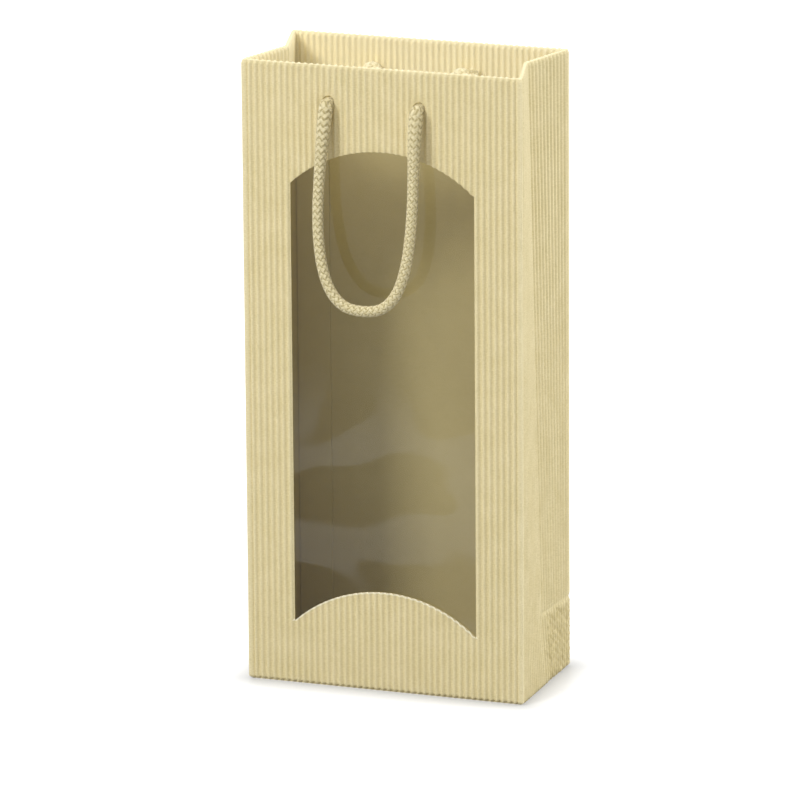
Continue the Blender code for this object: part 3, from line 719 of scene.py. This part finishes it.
# %% Wall sizes
WIDTH, DEPTH, HEIGHT = 170 * MM, 85 * MM, 370 * MM
PITCH, FLUTE, PAPER, VALLEY = 3.8 * MM, 1.13 * MM, 0.25 * MM, 1.26 * MM
CLEARANCE = 0.02 * MM
FOLD_MIDDLE, BASE_MIDDLE, RIM_LEFT = 1.82 * MM, 2.16 * MM, 0.55
BASE_START = BASE_MIDDLE - VALLEY + FLUTE + PAPER / 2 + CLEARANCE
RIM_RUN = HEIGHT - BASE_START - (FOLD_MIDDLE - VALLEY) - FLUTE * RIM_LEFT - PAPER / 2 - CLEARANCE
CUFF_BOTTOM = 330 * MM
BASE_FOLD = 42.5 * MM
BAND, FOLD_BAND = 2.2 * MM, 0.4 * MM
HOLE_HEIGHT = 348 * MM
print("strip from base to rim, mm:", round(RIM_RUN / MM, 1))

# %% [markdown]
# ### Places on a strip
#
# Everything that happens to a flute depends on three places: how far along the wall it is, how far from the
# rim's fold, and how high it will stand once the strip is folded. Past the fold the strip comes down again,
# so its height there is counted back from the fold's middle.

# %% Flute group and its places
flutes, given = new_group(
    "press_flutes", Vector=["Left hole", "Right hole"], Material=["Material"], Float=[
        "Pitch", "Flute depth", "First flute", "Last flute", "Band level", "Rim run", "Fold arc", "Rim taper",
        "Rim left", "Press inner", "Press outer", "Base fold", "Fold width", "Fold left", "Wrinkle", "Wobble",
        "Strip width", "Seed",
    ],
)
spot = add(flutes, "GeometryNodeInputPosition")
split = add(flutes, "ShaderNodeSeparateXYZ", (spot,))
along, run = split, split.node.outputs[1]
middle = add(flutes, "ShaderNodeMath", (given["Fold arc"], 0.5, given["Rim run"]), operation="MULTIPLY_ADD")
from_rim = add(flutes, "ShaderNodeMath", (run, middle), operation="SUBTRACT")
from_rim = add(flutes, "ShaderNodeMath", (from_rim,), operation="ABSOLUTE")
level = add(flutes, "ShaderNodeMath", (middle, from_rim), operation="SUBTRACT")
half_arc = add(flutes, "ShaderNodeMath", (given["Fold arc"], 0.5), operation="MULTIPLY")
from_rim = add(flutes, "ShaderNodeMath", (from_rim, half_arc), operation="SUBTRACT")
print("places:", len(flutes.nodes), "nodes")

# %% [markdown]
# ### Waver and crumple
#
# Pressed flutes are never quite straight, and under the base fold the rear half of each gusset is crumpled
# by the folding. One soft noise shifts all flutes sideways a little, and a finer one shifts those of the
# crumpled corner much more. The crumple fades towards the gusset's middle.

# %% Waver and crumple
WAVER, CRUMPLE = 16 * MM, (6.5 * MM, 8 * MM)

jitter = add(flutes, "ShaderNodeMath", (given["Seed"], 7.3), operation="MULTIPLY")
drift = add(flutes, "ShaderNodeCombineXYZ", (jitter, jitter, jitter))
stretched = add(flutes, "ShaderNodeVectorMath", {0: spot, 1: (1.0, 0.45, 1.0)}, operation="MULTIPLY")
stretched = add(
    flutes, "ShaderNodeVectorMath", {0: stretched, 1: (1 / WAVER,) * 3, 2: drift}, operation="MULTIPLY_ADD",
)
waver = add(flutes, "ShaderNodeTexNoise", {"Vector": stretched, "Scale": 1.0, "Detail": 2.0})
waver = add(flutes, "ShaderNodeMath", (waver, 0.5), operation="SUBTRACT")
shift = add(flutes, "ShaderNodeMath", (waver, given["Wobble"]), operation="MULTIPLY")
crumple = {0: spot, 1: (1 / CRUMPLE[0], 1 / CRUMPLE[1], 1.0), 2: drift}
crumple = add(flutes, "ShaderNodeVectorMath", crumple, operation="MULTIPLY_ADD")
crumple = add(flutes, "ShaderNodeTexNoise", {"Vector": crumple, "Scale": 1.0, "Detail": 1.5})
crumple = add(flutes, "ShaderNodeMath", (crumple, 0.5), operation="SUBTRACT")
under_fold = add(flutes, "ShaderNodeMath", (given["Base fold"], level), operation="SUBTRACT")
under_fold = add(flutes, "ShaderNodeMapRange", (under_fold, 0.0, 5 * MM, 0.0, 1.0), **SMOOTH)
crumpled = add(flutes, "ShaderNodeMath", (under_fold, given["Wrinkle"]), operation="MULTIPLY")
far_edge = add(flutes, "ShaderNodeMath", (given["Strip width"], along), operation="SUBTRACT")
to_middle = add(flutes, "ShaderNodeMapRange", (far_edge, 10.5 * MM, 21 * MM, 0.15, 1.0), **SMOOTH)
crumpled = add(flutes, "ShaderNodeMath", (crumpled, to_middle), operation="MULTIPLY")
shift = add(flutes, "ShaderNodeMath", (crumple, crumpled, shift), operation="MULTIPLY_ADD")
place = add(flutes, "ShaderNodeMath", (along, shift), operation="ADD")
print("with waver and crumple:", len(flutes.nodes), "nodes")

# %% [markdown]
# ### The flutes' wave
#
# In section the flutes are a rounded wave. A cosine to the power of 1.4 makes their valleys a little wider
# than their crests, as paper pressed between two rollers is. Beyond the first and the last flute the paper
# is a flat band, because it is creased there.

# %% Flute wave
phase = add(flutes, "ShaderNodeMath", (place, given["First flute"]), operation="SUBTRACT")
phase = add(flutes, "ShaderNodeMath", (phase, given["Pitch"]), operation="DIVIDE")
phase = add(flutes, "ShaderNodeMath", (phase, 2 * math.pi), operation="MULTIPLY")
wave = add(flutes, "ShaderNodeMath", (phase,), operation="COSINE")
wave = add(flutes, "ShaderNodeMath", (wave, -0.5, 0.5), operation="MULTIPLY_ADD")
wave = add(flutes, "ShaderNodeMath", (wave, 1.4), operation="POWER")
within = []
for pair in ((along, given["First flute"]), (given["Last flute"], along)):
    past = add(flutes, "ShaderNodeMath", pair, operation="SUBTRACT")
    within.append(add(flutes, "ShaderNodeMapRange", (past, -0.5 * MM, 0.5 * MM, 0.0, 1.0)))
within = add(flutes, "ShaderNodeMath", within, operation="MULTIPLY")
shape = add(flutes, "ShaderNodeMapRange", (within, 0.0, 1.0, given["Band level"], wave))
print("with the wave:", len(flutes.nodes), "nodes")

# %% [markdown]
# ### Crushed flutes
#
# Where the board is folded or punched, its flutes are pressed down: at the rim, round each hole and along
# the base fold. Each of these is a factor between nearly nothing and one, and a first factor makes flutes a
# little uneven in height everywhere. Factors multiply, so that two of them can meet, as a hole's and the
# rim's do, and leave no step between them.

# %% Crushed flutes
swell = add(flutes, "ShaderNodeMath", (waver, 0.22, 0.97), operation="MULTIPLY_ADD")
rim = add(
    flutes, "ShaderNodeMapRange", (from_rim, 0.0, given["Rim taper"], given["Rim left"], 1.0), **SMOOTH,
)
kept = [swell, rim]
flat_spot = add(flutes, "ShaderNodeCombineXYZ", (along, level, 0.0))
for side in ("Left hole", "Right hole"):
    near = {0: flat_spot, 1: given[side]}
    near = add(flutes, "ShaderNodeVectorMath", near, pick="Value", operation="DISTANCE")
    kept.append(add(
        flutes, "ShaderNodeMapRange", (near, given["Press inner"], given["Press outer"], 0.12, 1.0),
        **SMOOTH,
    ))
from_fold = add(flutes, "ShaderNodeMath", (level, given["Base fold"]), operation="SUBTRACT")
from_fold = add(flutes, "ShaderNodeMath", (from_fold,), operation="ABSOLUTE")
kept.append(add(
    flutes, "ShaderNodeMapRange",
    (from_fold, 0.2 * MM, given["Fold width"], given["Fold left"], 1.0), **SMOOTH,
))
for factor in kept:
    shape = add(flutes, "ShaderNodeMath", (shape, factor), operation="MULTIPLY")
lift = add(flutes, "ShaderNodeMath", (shape, given["Flute depth"]), operation="MULTIPLY")
print("with crushing:", len(flutes.nodes), "nodes")

# %% [markdown]
# ### Crumpled ridges
#
# In the crumpled corner fine ridges cross the flutes aslant. They are a sine of the place along and up the
# strip, bent by the crumple's own noise, and the lift is then kept between flat paper and a whole flute, so
# that no ridge sticks out of the bag.

# %% Crumpled ridges
SLANT = 4.6 * MM

ridge = add(flutes, "ShaderNodeMath", (crumple, crumpled), operation="MULTIPLY")
lift = add(flutes, "ShaderNodeMath", (ridge, -0.25, lift), operation="MULTIPLY_ADD")
slant = add(flutes, "ShaderNodeMath", (along, 0.55, run), operation="MULTIPLY_ADD")
slant = add(flutes, "ShaderNodeMath", (slant, 2 * math.pi / SLANT), operation="MULTIPLY")
slant = add(flutes, "ShaderNodeMath", (crumple, 9.0, slant), operation="MULTIPLY_ADD")
slant = add(flutes, "ShaderNodeMath", (slant,), operation="SINE")
slant = add(flutes, "ShaderNodeMath", (slant, crumpled), operation="MULTIPLY")
lift = add(flutes, "ShaderNodeMath", (slant, -0.06, lift), operation="MULTIPLY_ADD")
lift = add(flutes, "ShaderNodeMath", (lift, 0.0), operation="MAXIMUM")
lift = add(flutes, "ShaderNodeMath", (lift, given["Flute depth"]), operation="MINIMUM")
print("with ridges:", len(flutes.nodes), "nodes")

# %% [markdown]
# ### What the paper reads
#
# Valleys get painted shade, and the crumpled corner more of it. Crests along the rim and the walls' edges
# are rubbed pale and also get a painted highlight, and the turned-in side gets painted light. A material
# can't find these places by itself on a folded wall, so the group stores them with the points, before they
# are lifted.

# %% Flute shade, wear and highlight, and turned-in side
# Paler rim crests and wall edges: real wear, with a painted highlight where they face the light
rim_wear_and_highlight = add(flutes, "ShaderNodeMapRange", (from_rim, -0.6 * MM, 0.0, 0.9, 0.0), **SMOOTH)
on_crests = add(flutes, "ShaderNodeMath", (wave, 0.65, 0.35), operation="MULTIPLY_ADD")
rim_wear_and_highlight = add(flutes, "ShaderNodeMath", (rim_wear_and_highlight, on_crests), operation="MULTIPLY")
from_edge = add(flutes, "ShaderNodeMath", (along, far_edge), operation="MINIMUM")
edge_wear_and_highlight = add(flutes, "ShaderNodeMapRange", (from_edge, 0.2 * MM, 0.9 * MM, 0.35, 0.0), **SMOOTH)
wear_and_highlight = add(flutes, "ShaderNodeMath", (rim_wear_and_highlight, edge_wear_and_highlight), operation="MAXIMUM")
# Painted shade: the crumpled corner's value is pushed far down, so the paper paints it darker
tone = add(flutes, "ShaderNodeMath", (crumpled, -210.0, shape), operation="MULTIPLY_ADD")
# Painted light: the turned-in side of each strip is made paler, since the inside gets less light
inner = add(flutes, "ShaderNodeMath", (given["Rim run"], given["Fold arc"]), operation="ADD")
cuff_painted_light = add(flutes, "ShaderNodeMapRange", (run, middle, inner, 0.0, 1.0), **SMOOTH)
pressed = given["Geometry"]
for label, value in (("flute_shade", tone), ("wear_and_highlight", wear_and_highlight), ("turned_in_painted_light", cuff_painted_light)):
    stored = {"Geometry": pressed, "Name": label, "Value": value}
    pressed = add(flutes, "GeometryNodeStoreNamedAttribute", stored, domain="POINT")
pressed = add(
    flutes, "GeometryNodeSetPosition",
    {"Geometry": pressed, "Offset": add(flutes, "ShaderNodeCombineXYZ", (0.0, 0.0, lift))},
)
pressed = add(flutes, "GeometryNodeRealizeInstances", (pressed,))
pressed = add(flutes, "GeometryNodeSetMaterial", {"Geometry": pressed, "Material": given["Material"]})
add(flutes, "NodeGroupOutput", (pressed,))
print("flute group ready:", len(flutes.nodes), "nodes")

# %% [markdown]
# ## Folding the walls
#
# A pressed strip is bent under at its lower edge, run straight up, turned over at the rim and run down
# inside as the cuff. Its points are close together only where it bends or where its flutes change, which
# keeps a wall light. First come the six walls and the rows of points that each one needs.

# %% Walls and their rows
# Each wall's corner, its way along, its way in, its length, and whether its far end is mitred too
WALLS = {
    "front": ((-WIDTH / 2, -DEPTH / 2), (1, 0), (0, 1), WIDTH, 1),
    "back": ((WIDTH / 2, DEPTH / 2), (-1, 0), (0, -1), WIDTH, 1),
    "left_gusset_front": ((-WIDTH / 2, -DEPTH / 2), (0, 1), (1, 0), DEPTH / 2, 0),
    "left_gusset_rear": ((-WIDTH / 2, DEPTH / 2), (0, -1), (1, 0), DEPTH / 2, 0),
    "right_gusset_front": ((WIDTH / 2, -DEPTH / 2), (0, 1), (-1, 0), DEPTH / 2, 0),
    "right_gusset_rear": ((WIDTH / 2, DEPTH / 2), (0, -1), (-1, 0), DEPTH / 2, 0),
}


def bends(sheet):
    """For a sheet this deep in its wall: its strip's start and end, and its rim fold's length."""
    arc = math.pi * (FOLD_MIDDLE - sheet)
    return -math.pi / 2 * (BASE_MIDDLE - sheet), 2 * RIM_RUN + arc + BASE_START - CUFF_BOTTOM, arc


def strip_rows(sheet, crushed, wrinkled, punched):
    """Places along a strip, close together wherever it bends or its flutes change."""
    start, end, arc = bends(sheet)
    rows = [np.linspace(start, 0, 6), np.array((0.4, 0.9, 1.5, 2.2, 3.2, 4.5, 6.5)) * MM]
    rows.append(np.arange(10, 359, 8) * MM)
    tops = np.array((0.3, 0.6, 1.0, 1.4, 1.9, 2.5, 3.4, 4.6, 6.5)) * MM
    rows += [RIM_RUN - tops, np.linspace(RIM_RUN, RIM_RUN + arc, 9), RIM_RUN + arc + tops]
    rows.append(np.linspace(RIM_RUN + arc + 9 * MM, end, 5))
    if punched:
        level = HOLE_HEIGHT - BASE_START + np.arange(-8, 8.1, 1.3) * MM
        rows += [level, 2 * RIM_RUN + arc - level]
    if crushed:
        beside = np.array((-4, -2.6, -1.8, -1.1, -0.5, 0, 0.5, 1.1, 1.8, 2.6, 4)) * MM
        rows.append(BASE_FOLD - BASE_START + beside)
    if wrinkled:
        rows.append(np.arange(7.5, 38, 1.2) * MM)
    rows = np.sort(np.concatenate(rows))
    return rows[np.concatenate([[True], np.diff(rows) > 0.12 * MM])]


print("walls:", ", ".join(WALLS))

# %% [markdown]
# ### Bending a strip
#
# Blender's own bend makes one bend round a whole piece. A strip has two, each wall is mitred into its
# neighbour at the corner, and a gusset is also pushed in, a little at the base fold and most at the rim. So
# one function works out every point's new place from its place on the strip. The flutes' lift turns with
# each bend, and a wall's edges are set in a trifle, as a soft crease is.

# %% Fold a strip
RIM_DRAW, FOLD_DRAW, DRAW_START = 10.6 * MM, 3 * MM, 2.1 * MM
SOFT_EDGE, SOFT_DEPTH = 1.2 * MM, 0.25 * MM


def fold_strip(piece, wall, sheet):
    """Bends a strip into its wall: under at the base, over at the rim and down as the cuff."""
    corner, along, inward, length, end_mitre = wall
    start, _, arc = bends(sheet)
    points = np.empty(len(piece.data.vertices) * 3)
    piece.data.vertices.foreach_get("co", points)
    across, run, lift = points.reshape(-1, 3).T
    turn = np.clip((run - RIM_RUN) / arc, 0, 1) * math.pi
    under = np.clip(run / start, 0, 1) * math.pi / 2
    depth = sheet + (FOLD_MIDDLE - sheet) * (1 - np.cos(turn)) + (BASE_MIDDLE - sheet) * (1 - np.cos(under))
    height = BASE_START + np.clip(run, 0, RIM_RUN) + (FOLD_MIDDLE - sheet) * np.sin(turn)
    height -= np.maximum(run - RIM_RUN - arc, 0) + (BASE_MIDDLE - sheet) * np.sin(under)
    edge = np.minimum(across, length - across) if end_mitre else across
    mitre = depth - lift * np.cos(turn + under) * np.clip(1 - edge / BAND, 0, 1)
    place = mitre + across * (length - (1 + end_mitre) * mitre) / length
    depth -= lift * np.cos(turn + under)
    height += lift * (np.sin(turn) - np.sin(under))
    depth += SOFT_DEPTH * np.clip(1 - edge / SOFT_EDGE, 0, 1) ** 2 * (1 + np.cos(turn)) / 2
    if not end_mitre:
        middle = FOLD_DRAW * np.clip(height / BASE_FOLD, 0, 1)
        middle += (RIM_DRAW - FOLD_DRAW) * np.clip((height - BASE_FOLD) / (HEIGHT - BASE_FOLD), 0, 1)
        depth = depth + middle * np.clip((across - DRAW_START) / (length - DRAW_START), 0, 1)
    flat = [corner[axis] + along[axis] * place + inward[axis] * depth for axis in (0, 1)]
    spots = np.column_stack([*flat, height])
    piece.data.vertices.foreach_set("co", spots.ravel())
    piece.data.update()


# %% [markdown]
# ### Six walls
#
# Each wall is a grid with eight columns to a flute, which is enough for a round crest. The group presses
# it, and then it is folded. The number of flutes is the one that brings the pitch nearest to 3.8 mm.

# %% Press and fold the walls
def grid_mesh(name, columns, rows):
    """A flat grid over these columns and rows."""
    wide, high = len(columns), len(rows)
    verts = [(x, y, 0) for y in rows for x in columns]
    faces = [
        (row * wide + col, row * wide + col + 1, (row + 1) * wide + col + 1, (row + 1) * wide + col)
        for row in range(high - 1) for col in range(wide - 1)
    ]
    mesh = bpy.data.meshes.new(name)
    mesh.from_pydata(verts, [], faces)
    return mesh


def hole_place(name, way):
    """Where a handle hole's middle falls along a wide wall's own strip."""
    x = HOLE_MIDDLE + way * HALF_SPACING
    return x + WIDTH / 2 if name == "front" else WIDTH / 2 - x


FAR_OFF, NO_FOLD = (9, 9, 9), -1.0  # where a hole or a fold that a wall lacks is put
WRINKLE, WOBBLE = 5.5 * MM, 0.35 * MM
walls = {}
for seed, (name, wall) in enumerate(WALLS.items()):
    length, wide = wall[3], wall[4]
    first, last = BAND, length - (BAND if wide else FOLD_BAND)
    count = round((last - first) / PITCH)
    columns = np.concatenate([
        np.linspace(0, first, 8)[:-1], np.linspace(first, last, count * 8 + 1),
        np.linspace(last, length, 8)[1:],
    ])
    crushed = name == "back" or name.endswith("rear")
    wrinkled = name.endswith("rear")
    rows = strip_rows(VALLEY, crushed, wrinkled, wide)
    piece = new_piece(f"{name}_board", grid_mesh(name, columns, rows))
    holes = [(hole_place(name, way), HOLE_HEIGHT - BASE_START, 0) if wide else FAR_OFF for way in (-1, 1)]
    run_group(piece, flutes, {
        "Pitch": (last - first) / count, "Flute depth": FLUTE, "First flute": first, "Last flute": last,
        "Band level": 0.72, "Rim run": RIM_RUN, "Fold arc": bends(VALLEY)[2], "Rim taper": 1.1 * MM,
        "Rim left": RIM_LEFT, "Left hole": holes[0], "Right hole": holes[1], "Press inner": 4 * MM,
        "Press outer": 7.5 * MM,
        "Base fold": BASE_FOLD - BASE_START if crushed else NO_FOLD, "Fold width": 2.2 * MM,
        "Fold left": 0.45, "Wrinkle": WRINKLE if wrinkled else 0.0, "Wobble": WOBBLE,
        "Strip width": length if wide else length + 10 * MM,  # a gusset's middle fold isn't rubbed
        "Seed": seed + 1.0, "Material": flute_paper,
    })
    fold_strip(piece, wall, VALLEY)
    walls[name] = piece
    print(name, "strip:", len(columns), "by", len(rows))

# %% [markdown]
# ## Cutting
#
# The real window and holes are punched out of the finished board. The paper gets its thickness, and then a
# boolean takes them out in the same way. It follows every flute, which no hand-made edge could. The outlines
# come first: two shallow arches and straight sides for the window, and two circles.

# %% Window and hole outlines
HALF_WINDOW = WIDTH / 2 - 29.25 * MM
ARCH_RISE, SILL, SPRINGING = 22 * MM, 37.6 * MM, CUFF_BOTTOM - 31 * MM
HOLE_RADIUS = 3.8 * MM


def arch_points(half, rise, springing, steps):
    """Points of a shallow arch from left to right over its springing height."""
    radius = (half ** 2 + rise ** 2) / (2 * rise)
    sweep = math.asin(half / radius)
    angles = np.linspace(-sweep, sweep, steps + 1)
    return [(radius * math.sin(a), springing + rise - radius * (1 - math.cos(a))) for a in angles]


sill_arch, top_arch = (arch_points(HALF_WINDOW, ARCH_RISE, height, 48) for height in (SILL, SPRINGING))
window = sill_arch + top_arch[::-1]
circle = [(math.cos(2 * math.pi * step / 32), math.sin(2 * math.pi * step / 32)) for step in range(32)]
holes = [
    [
        (HOLE_MIDDLE + way * HALF_SPACING + HOLE_RADIUS * x, HOLE_HEIGHT + HOLE_RADIUS * z)
        for x, z in circle
    ]
    for way in (-1, 1)
]
print("window, mm:", round(2 * HALF_WINDOW / MM, 1), "by", round((SPRINGING + ARCH_RISE - SILL) / MM, 1))

# %% [markdown]
# ### Punches
#
# Each punch is a closed rod with the outlines' shape. It carries the material of a cut edge and hands it
# over to the faces that it makes, so that punched edges show paler, as raw paper does.

# %% Punches
def rod_mesh(bm, outline, near, far):
    """Adds a closed rod with this (x, z) outline, from y = near to y = far."""
    ends = [[bm.verts.new((x, y, z)) for x, z in outline] for y in (near, far)]
    bm.faces.new(ends[0])
    bm.faces.new(ends[1][::-1])
    for index in range(len(outline)):
        after = (index + 1) % len(outline)
        bm.faces.new((ends[0][index], ends[1][index], ends[1][after], ends[0][after]))


def cutter(name, outlines, near, far):
    bm = bmesh.new()
    for outline in outlines:
        rod_mesh(bm, outline, near, far)
    bmesh.ops.recalc_face_normals(bm, faces=bm.faces)
    mesh = bpy.data.meshes.new(name)
    bm.to_mesh(mesh)
    bm.free()
    tool = new_piece(name, mesh, cut_edge)
    tool.hide_render = True
    return tool


def cut(piece, tool):
    modifier = piece.modifiers.new("cut", "BOOLEAN")
    modifier.operation, modifier.solver, modifier.object = "DIFFERENCE", "EXACT", tool
    modifier.material_mode = "TRANSFER"


def thicken(piece, thickness):
    modifier = piece.modifiers.new("thickness", "SOLIDIFY")
    modifier.thickness, modifier.offset = thickness, 0


# %% [markdown]
# ### Raw paper and painted highlight under the sill
#
# Along the window's sill the punch has torn the flutes' crests, and the cut faces up into the light, which
# shows as a thin bright line: raw paper with a painted highlight. It is finer than the wall's own rows of
# points, so the paper's material draws it, just under the arch.

# %% Raw paper and painted highlight under the sill
def sill_raw_and_highlight(material):
    """Shows raw paper with a painted highlight in a line under the window's sill, where the punch has torn
    the flutes' crests.
    """
    tree = material.node_tree
    paint = tree.nodes["Principled BSDF"].inputs["Base Color"]
    radius = (HALF_WINDOW ** 2 + ARCH_RISE ** 2) / (2 * ARCH_RISE)
    centre = (0, 0, SILL + ARCH_RISE - radius)
    spot = add(tree, "ShaderNodeTexCoord", pick="Object")
    spot = add(tree, "ShaderNodeVectorMath", {0: spot, 1: centre}, operation="SUBTRACT")
    flat = add(tree, "ShaderNodeVectorMath", {0: spot, 1: (1, 0, 1)}, operation="MULTIPLY")
    reach = add(tree, "ShaderNodeVectorMath", {0: flat}, pick="Value", operation="LENGTH")
    height = add(tree, "ShaderNodeSeparateXYZ", (spot,)).node.outputs[2]
    above = add(tree, "ShaderNodeMath", (height, radius - ARCH_RISE), operation="GREATER_THAN")
    sill_highlight = add(tree, "ShaderNodeMapRange", (reach, radius - 1.1 * MM, radius - 0.3 * MM, 0.0, 0.9))
    sill_highlight = add(tree, "ShaderNodeMath", (sill_highlight, above), operation="MULTIPLY")
    inner = add(tree, "ShaderNodeMath", (reach, radius + 1 * MM), operation="LESS_THAN")
    sill_highlight = add(tree, "ShaderNodeMath", (sill_highlight, inner), operation="MULTIPLY")
    layers = {0: sill_highlight, 6: paint.links[0].from_socket, 7: linear("#FFF9E2")}
    tree.links.new(add(tree, "ShaderNodeMix", layers, pick=2, data_type="RGBA"), paint)


# The same fluting paper for the front, with raw torn paper and a painted highlight in a thin line under the
# sill
front_paper = flute_paper.copy()
front_paper.name = "pressed_cream_paper_punched"
sill_raw_and_highlight(front_paper)
print("front paper ready:", front_paper.name)

# %% Punch and hand over the walls
punch_front = cutter("punch_front", [window, *holes], -50 * MM, -30 * MM)
punch_back = cutter("punch_back", holes, 30 * MM, 50 * MM)
for name, piece in walls.items():
    thicken(piece, PAPER)
    if name in ("front", "back"):
        cut(piece, punch_front if name == "front" else punch_back)
    if name == "front":
        piece.data.materials[0] = front_paper
    settle(piece)
    piece.data.shade_smooth()
    piece.data.set_sharp_from_angle(angle=math.radians(50))
    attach(piece, "bag")
    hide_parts(f"{name}_flutes", f"{name}_cuff")
    print(name, "board:", len(piece.data.polygons), "faces")

# %% [markdown]
# ## Liners
#
# The smooth liner is glued to the valleys of the fluted paper and is folded with it, so it is bent by the
# same function, a little further in. It is flat, so it needs few points. The front one has the same window
# as its flutes, and both wide ones have the same holes.

# %% Liners
LINER, LINER_THICK = 1.59 * MM, 0.4 * MM

for name, wall in WALLS.items():
    start, end, arc = bends(LINER)
    rows = [np.linspace(start, 0, 5), np.linspace(4 * MM, RIM_RUN - 2 * MM, 12)]
    rows += [np.linspace(RIM_RUN, RIM_RUN + arc, 7), [RIM_RUN + arc + 4 * MM, end]]
    columns = np.linspace(0, wall[3], 15 if wall[4] else 22)
    liner = new_piece(f"{name}_liner", grid_mesh(name, columns, np.concatenate(rows)), liner_paper)
    fold_strip(liner, wall, LINER)
    thicken(liner, LINER_THICK)
    if wall[4]:
        cut(liner, punch_front if name == "front" else punch_back)
    settle(liner)
    liner.data.shade_smooth()
    liner.data.set_sharp_from_angle(angle=math.radians(40))
    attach(liner, "bag")
    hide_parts(f"{name}_panel")
print("liners ready:", len(WALLS))

# %% [markdown]
# ## Window film
#
# The film is glued behind the front liner round the window, and its middle hangs a little slack, which
# bends its reflections. A cloth simulation could find such a shape, but two slow sines are enough, and they
# come out the same each time.

# %% Window film
def sheet_at(name, x_span, z_span, depth, thickness, material, nodes, steps, slack):
    """A sheet behind the front wall, with its outer face at a depth, and a slack middle."""
    xs, zs = np.linspace(*x_span, steps[0]), np.linspace(*z_span, steps[1])
    piece = new_piece(name, grid_mesh(name, xs, zs), material)
    for vert in piece.data.vertices:
        x, z = vert.co.x, vert.co.y
        inside = min(x - x_span[0], x_span[1] - x, z - z_span[0], z_span[1] - z) / (14 * MM)
        ripple = 0.55 + 0.25 * math.sin(x / (17 * MM) + z / (41 * MM))
        ripple += 0.2 * math.sin(z / (23 * MM) - x / (60 * MM))
        give = slack * min(max(inside - 0.75, 0), 1) * ripple
        vert.co = (x, -DEPTH / 2 + depth + thickness / 2 + give, z)
    thicken(piece, thickness)
    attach(piece, "bag")
    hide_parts(*nodes)
    return piece


FILM_DEPTH, FILM_THICK, FILM_SLACK = 2.1 * MM, 0.08 * MM, 0.9 * MM
low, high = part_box("window_film")
film = sheet_at(
    "window_film_clear", (low.x, high.x), (low.z, high.z), FILM_DEPTH, FILM_THICK, film_clear,
    ["window_film"], (45, 75), FILM_SLACK,
)
settle(film)
film.data.shade_smooth()
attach(film, "bag")
print("film, mm:", round((high.x - low.x) / MM, 1), "by", round((high.z - low.z) / MM, 1))

# %% [markdown]
# ## Base and seam
#
# The seam flap, the four bottom flaps and the insert are flat board, and the frame's solids have that shape
# already, so they only get their papers. The punches have done their work and are taken away.

# %% Base and seam
def give_material(node, material):
    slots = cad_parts[node].data.materials
    slots.clear()
    slots.append(material)


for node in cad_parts:
    if node == "seam_flap":
        give_material(node, liner_paper)
    elif node.startswith("bottom_flap"):
        give_material(node, flute_paper)
    elif node == "base_insert":
        give_material(node, greyboard)
for tool in (punch_front, punch_back):
    bpy.data.objects.remove(tool)
print("base and seam ready")

# %% Sizes
bpy.context.view_layer.update()
boxes = {"cad": cad_box, "visual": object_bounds()}
for name, (low, high) in boxes.items():
    print(name, "box, mm:", [round((b - a) / MM, 1) for a, b in zip(low, high)])
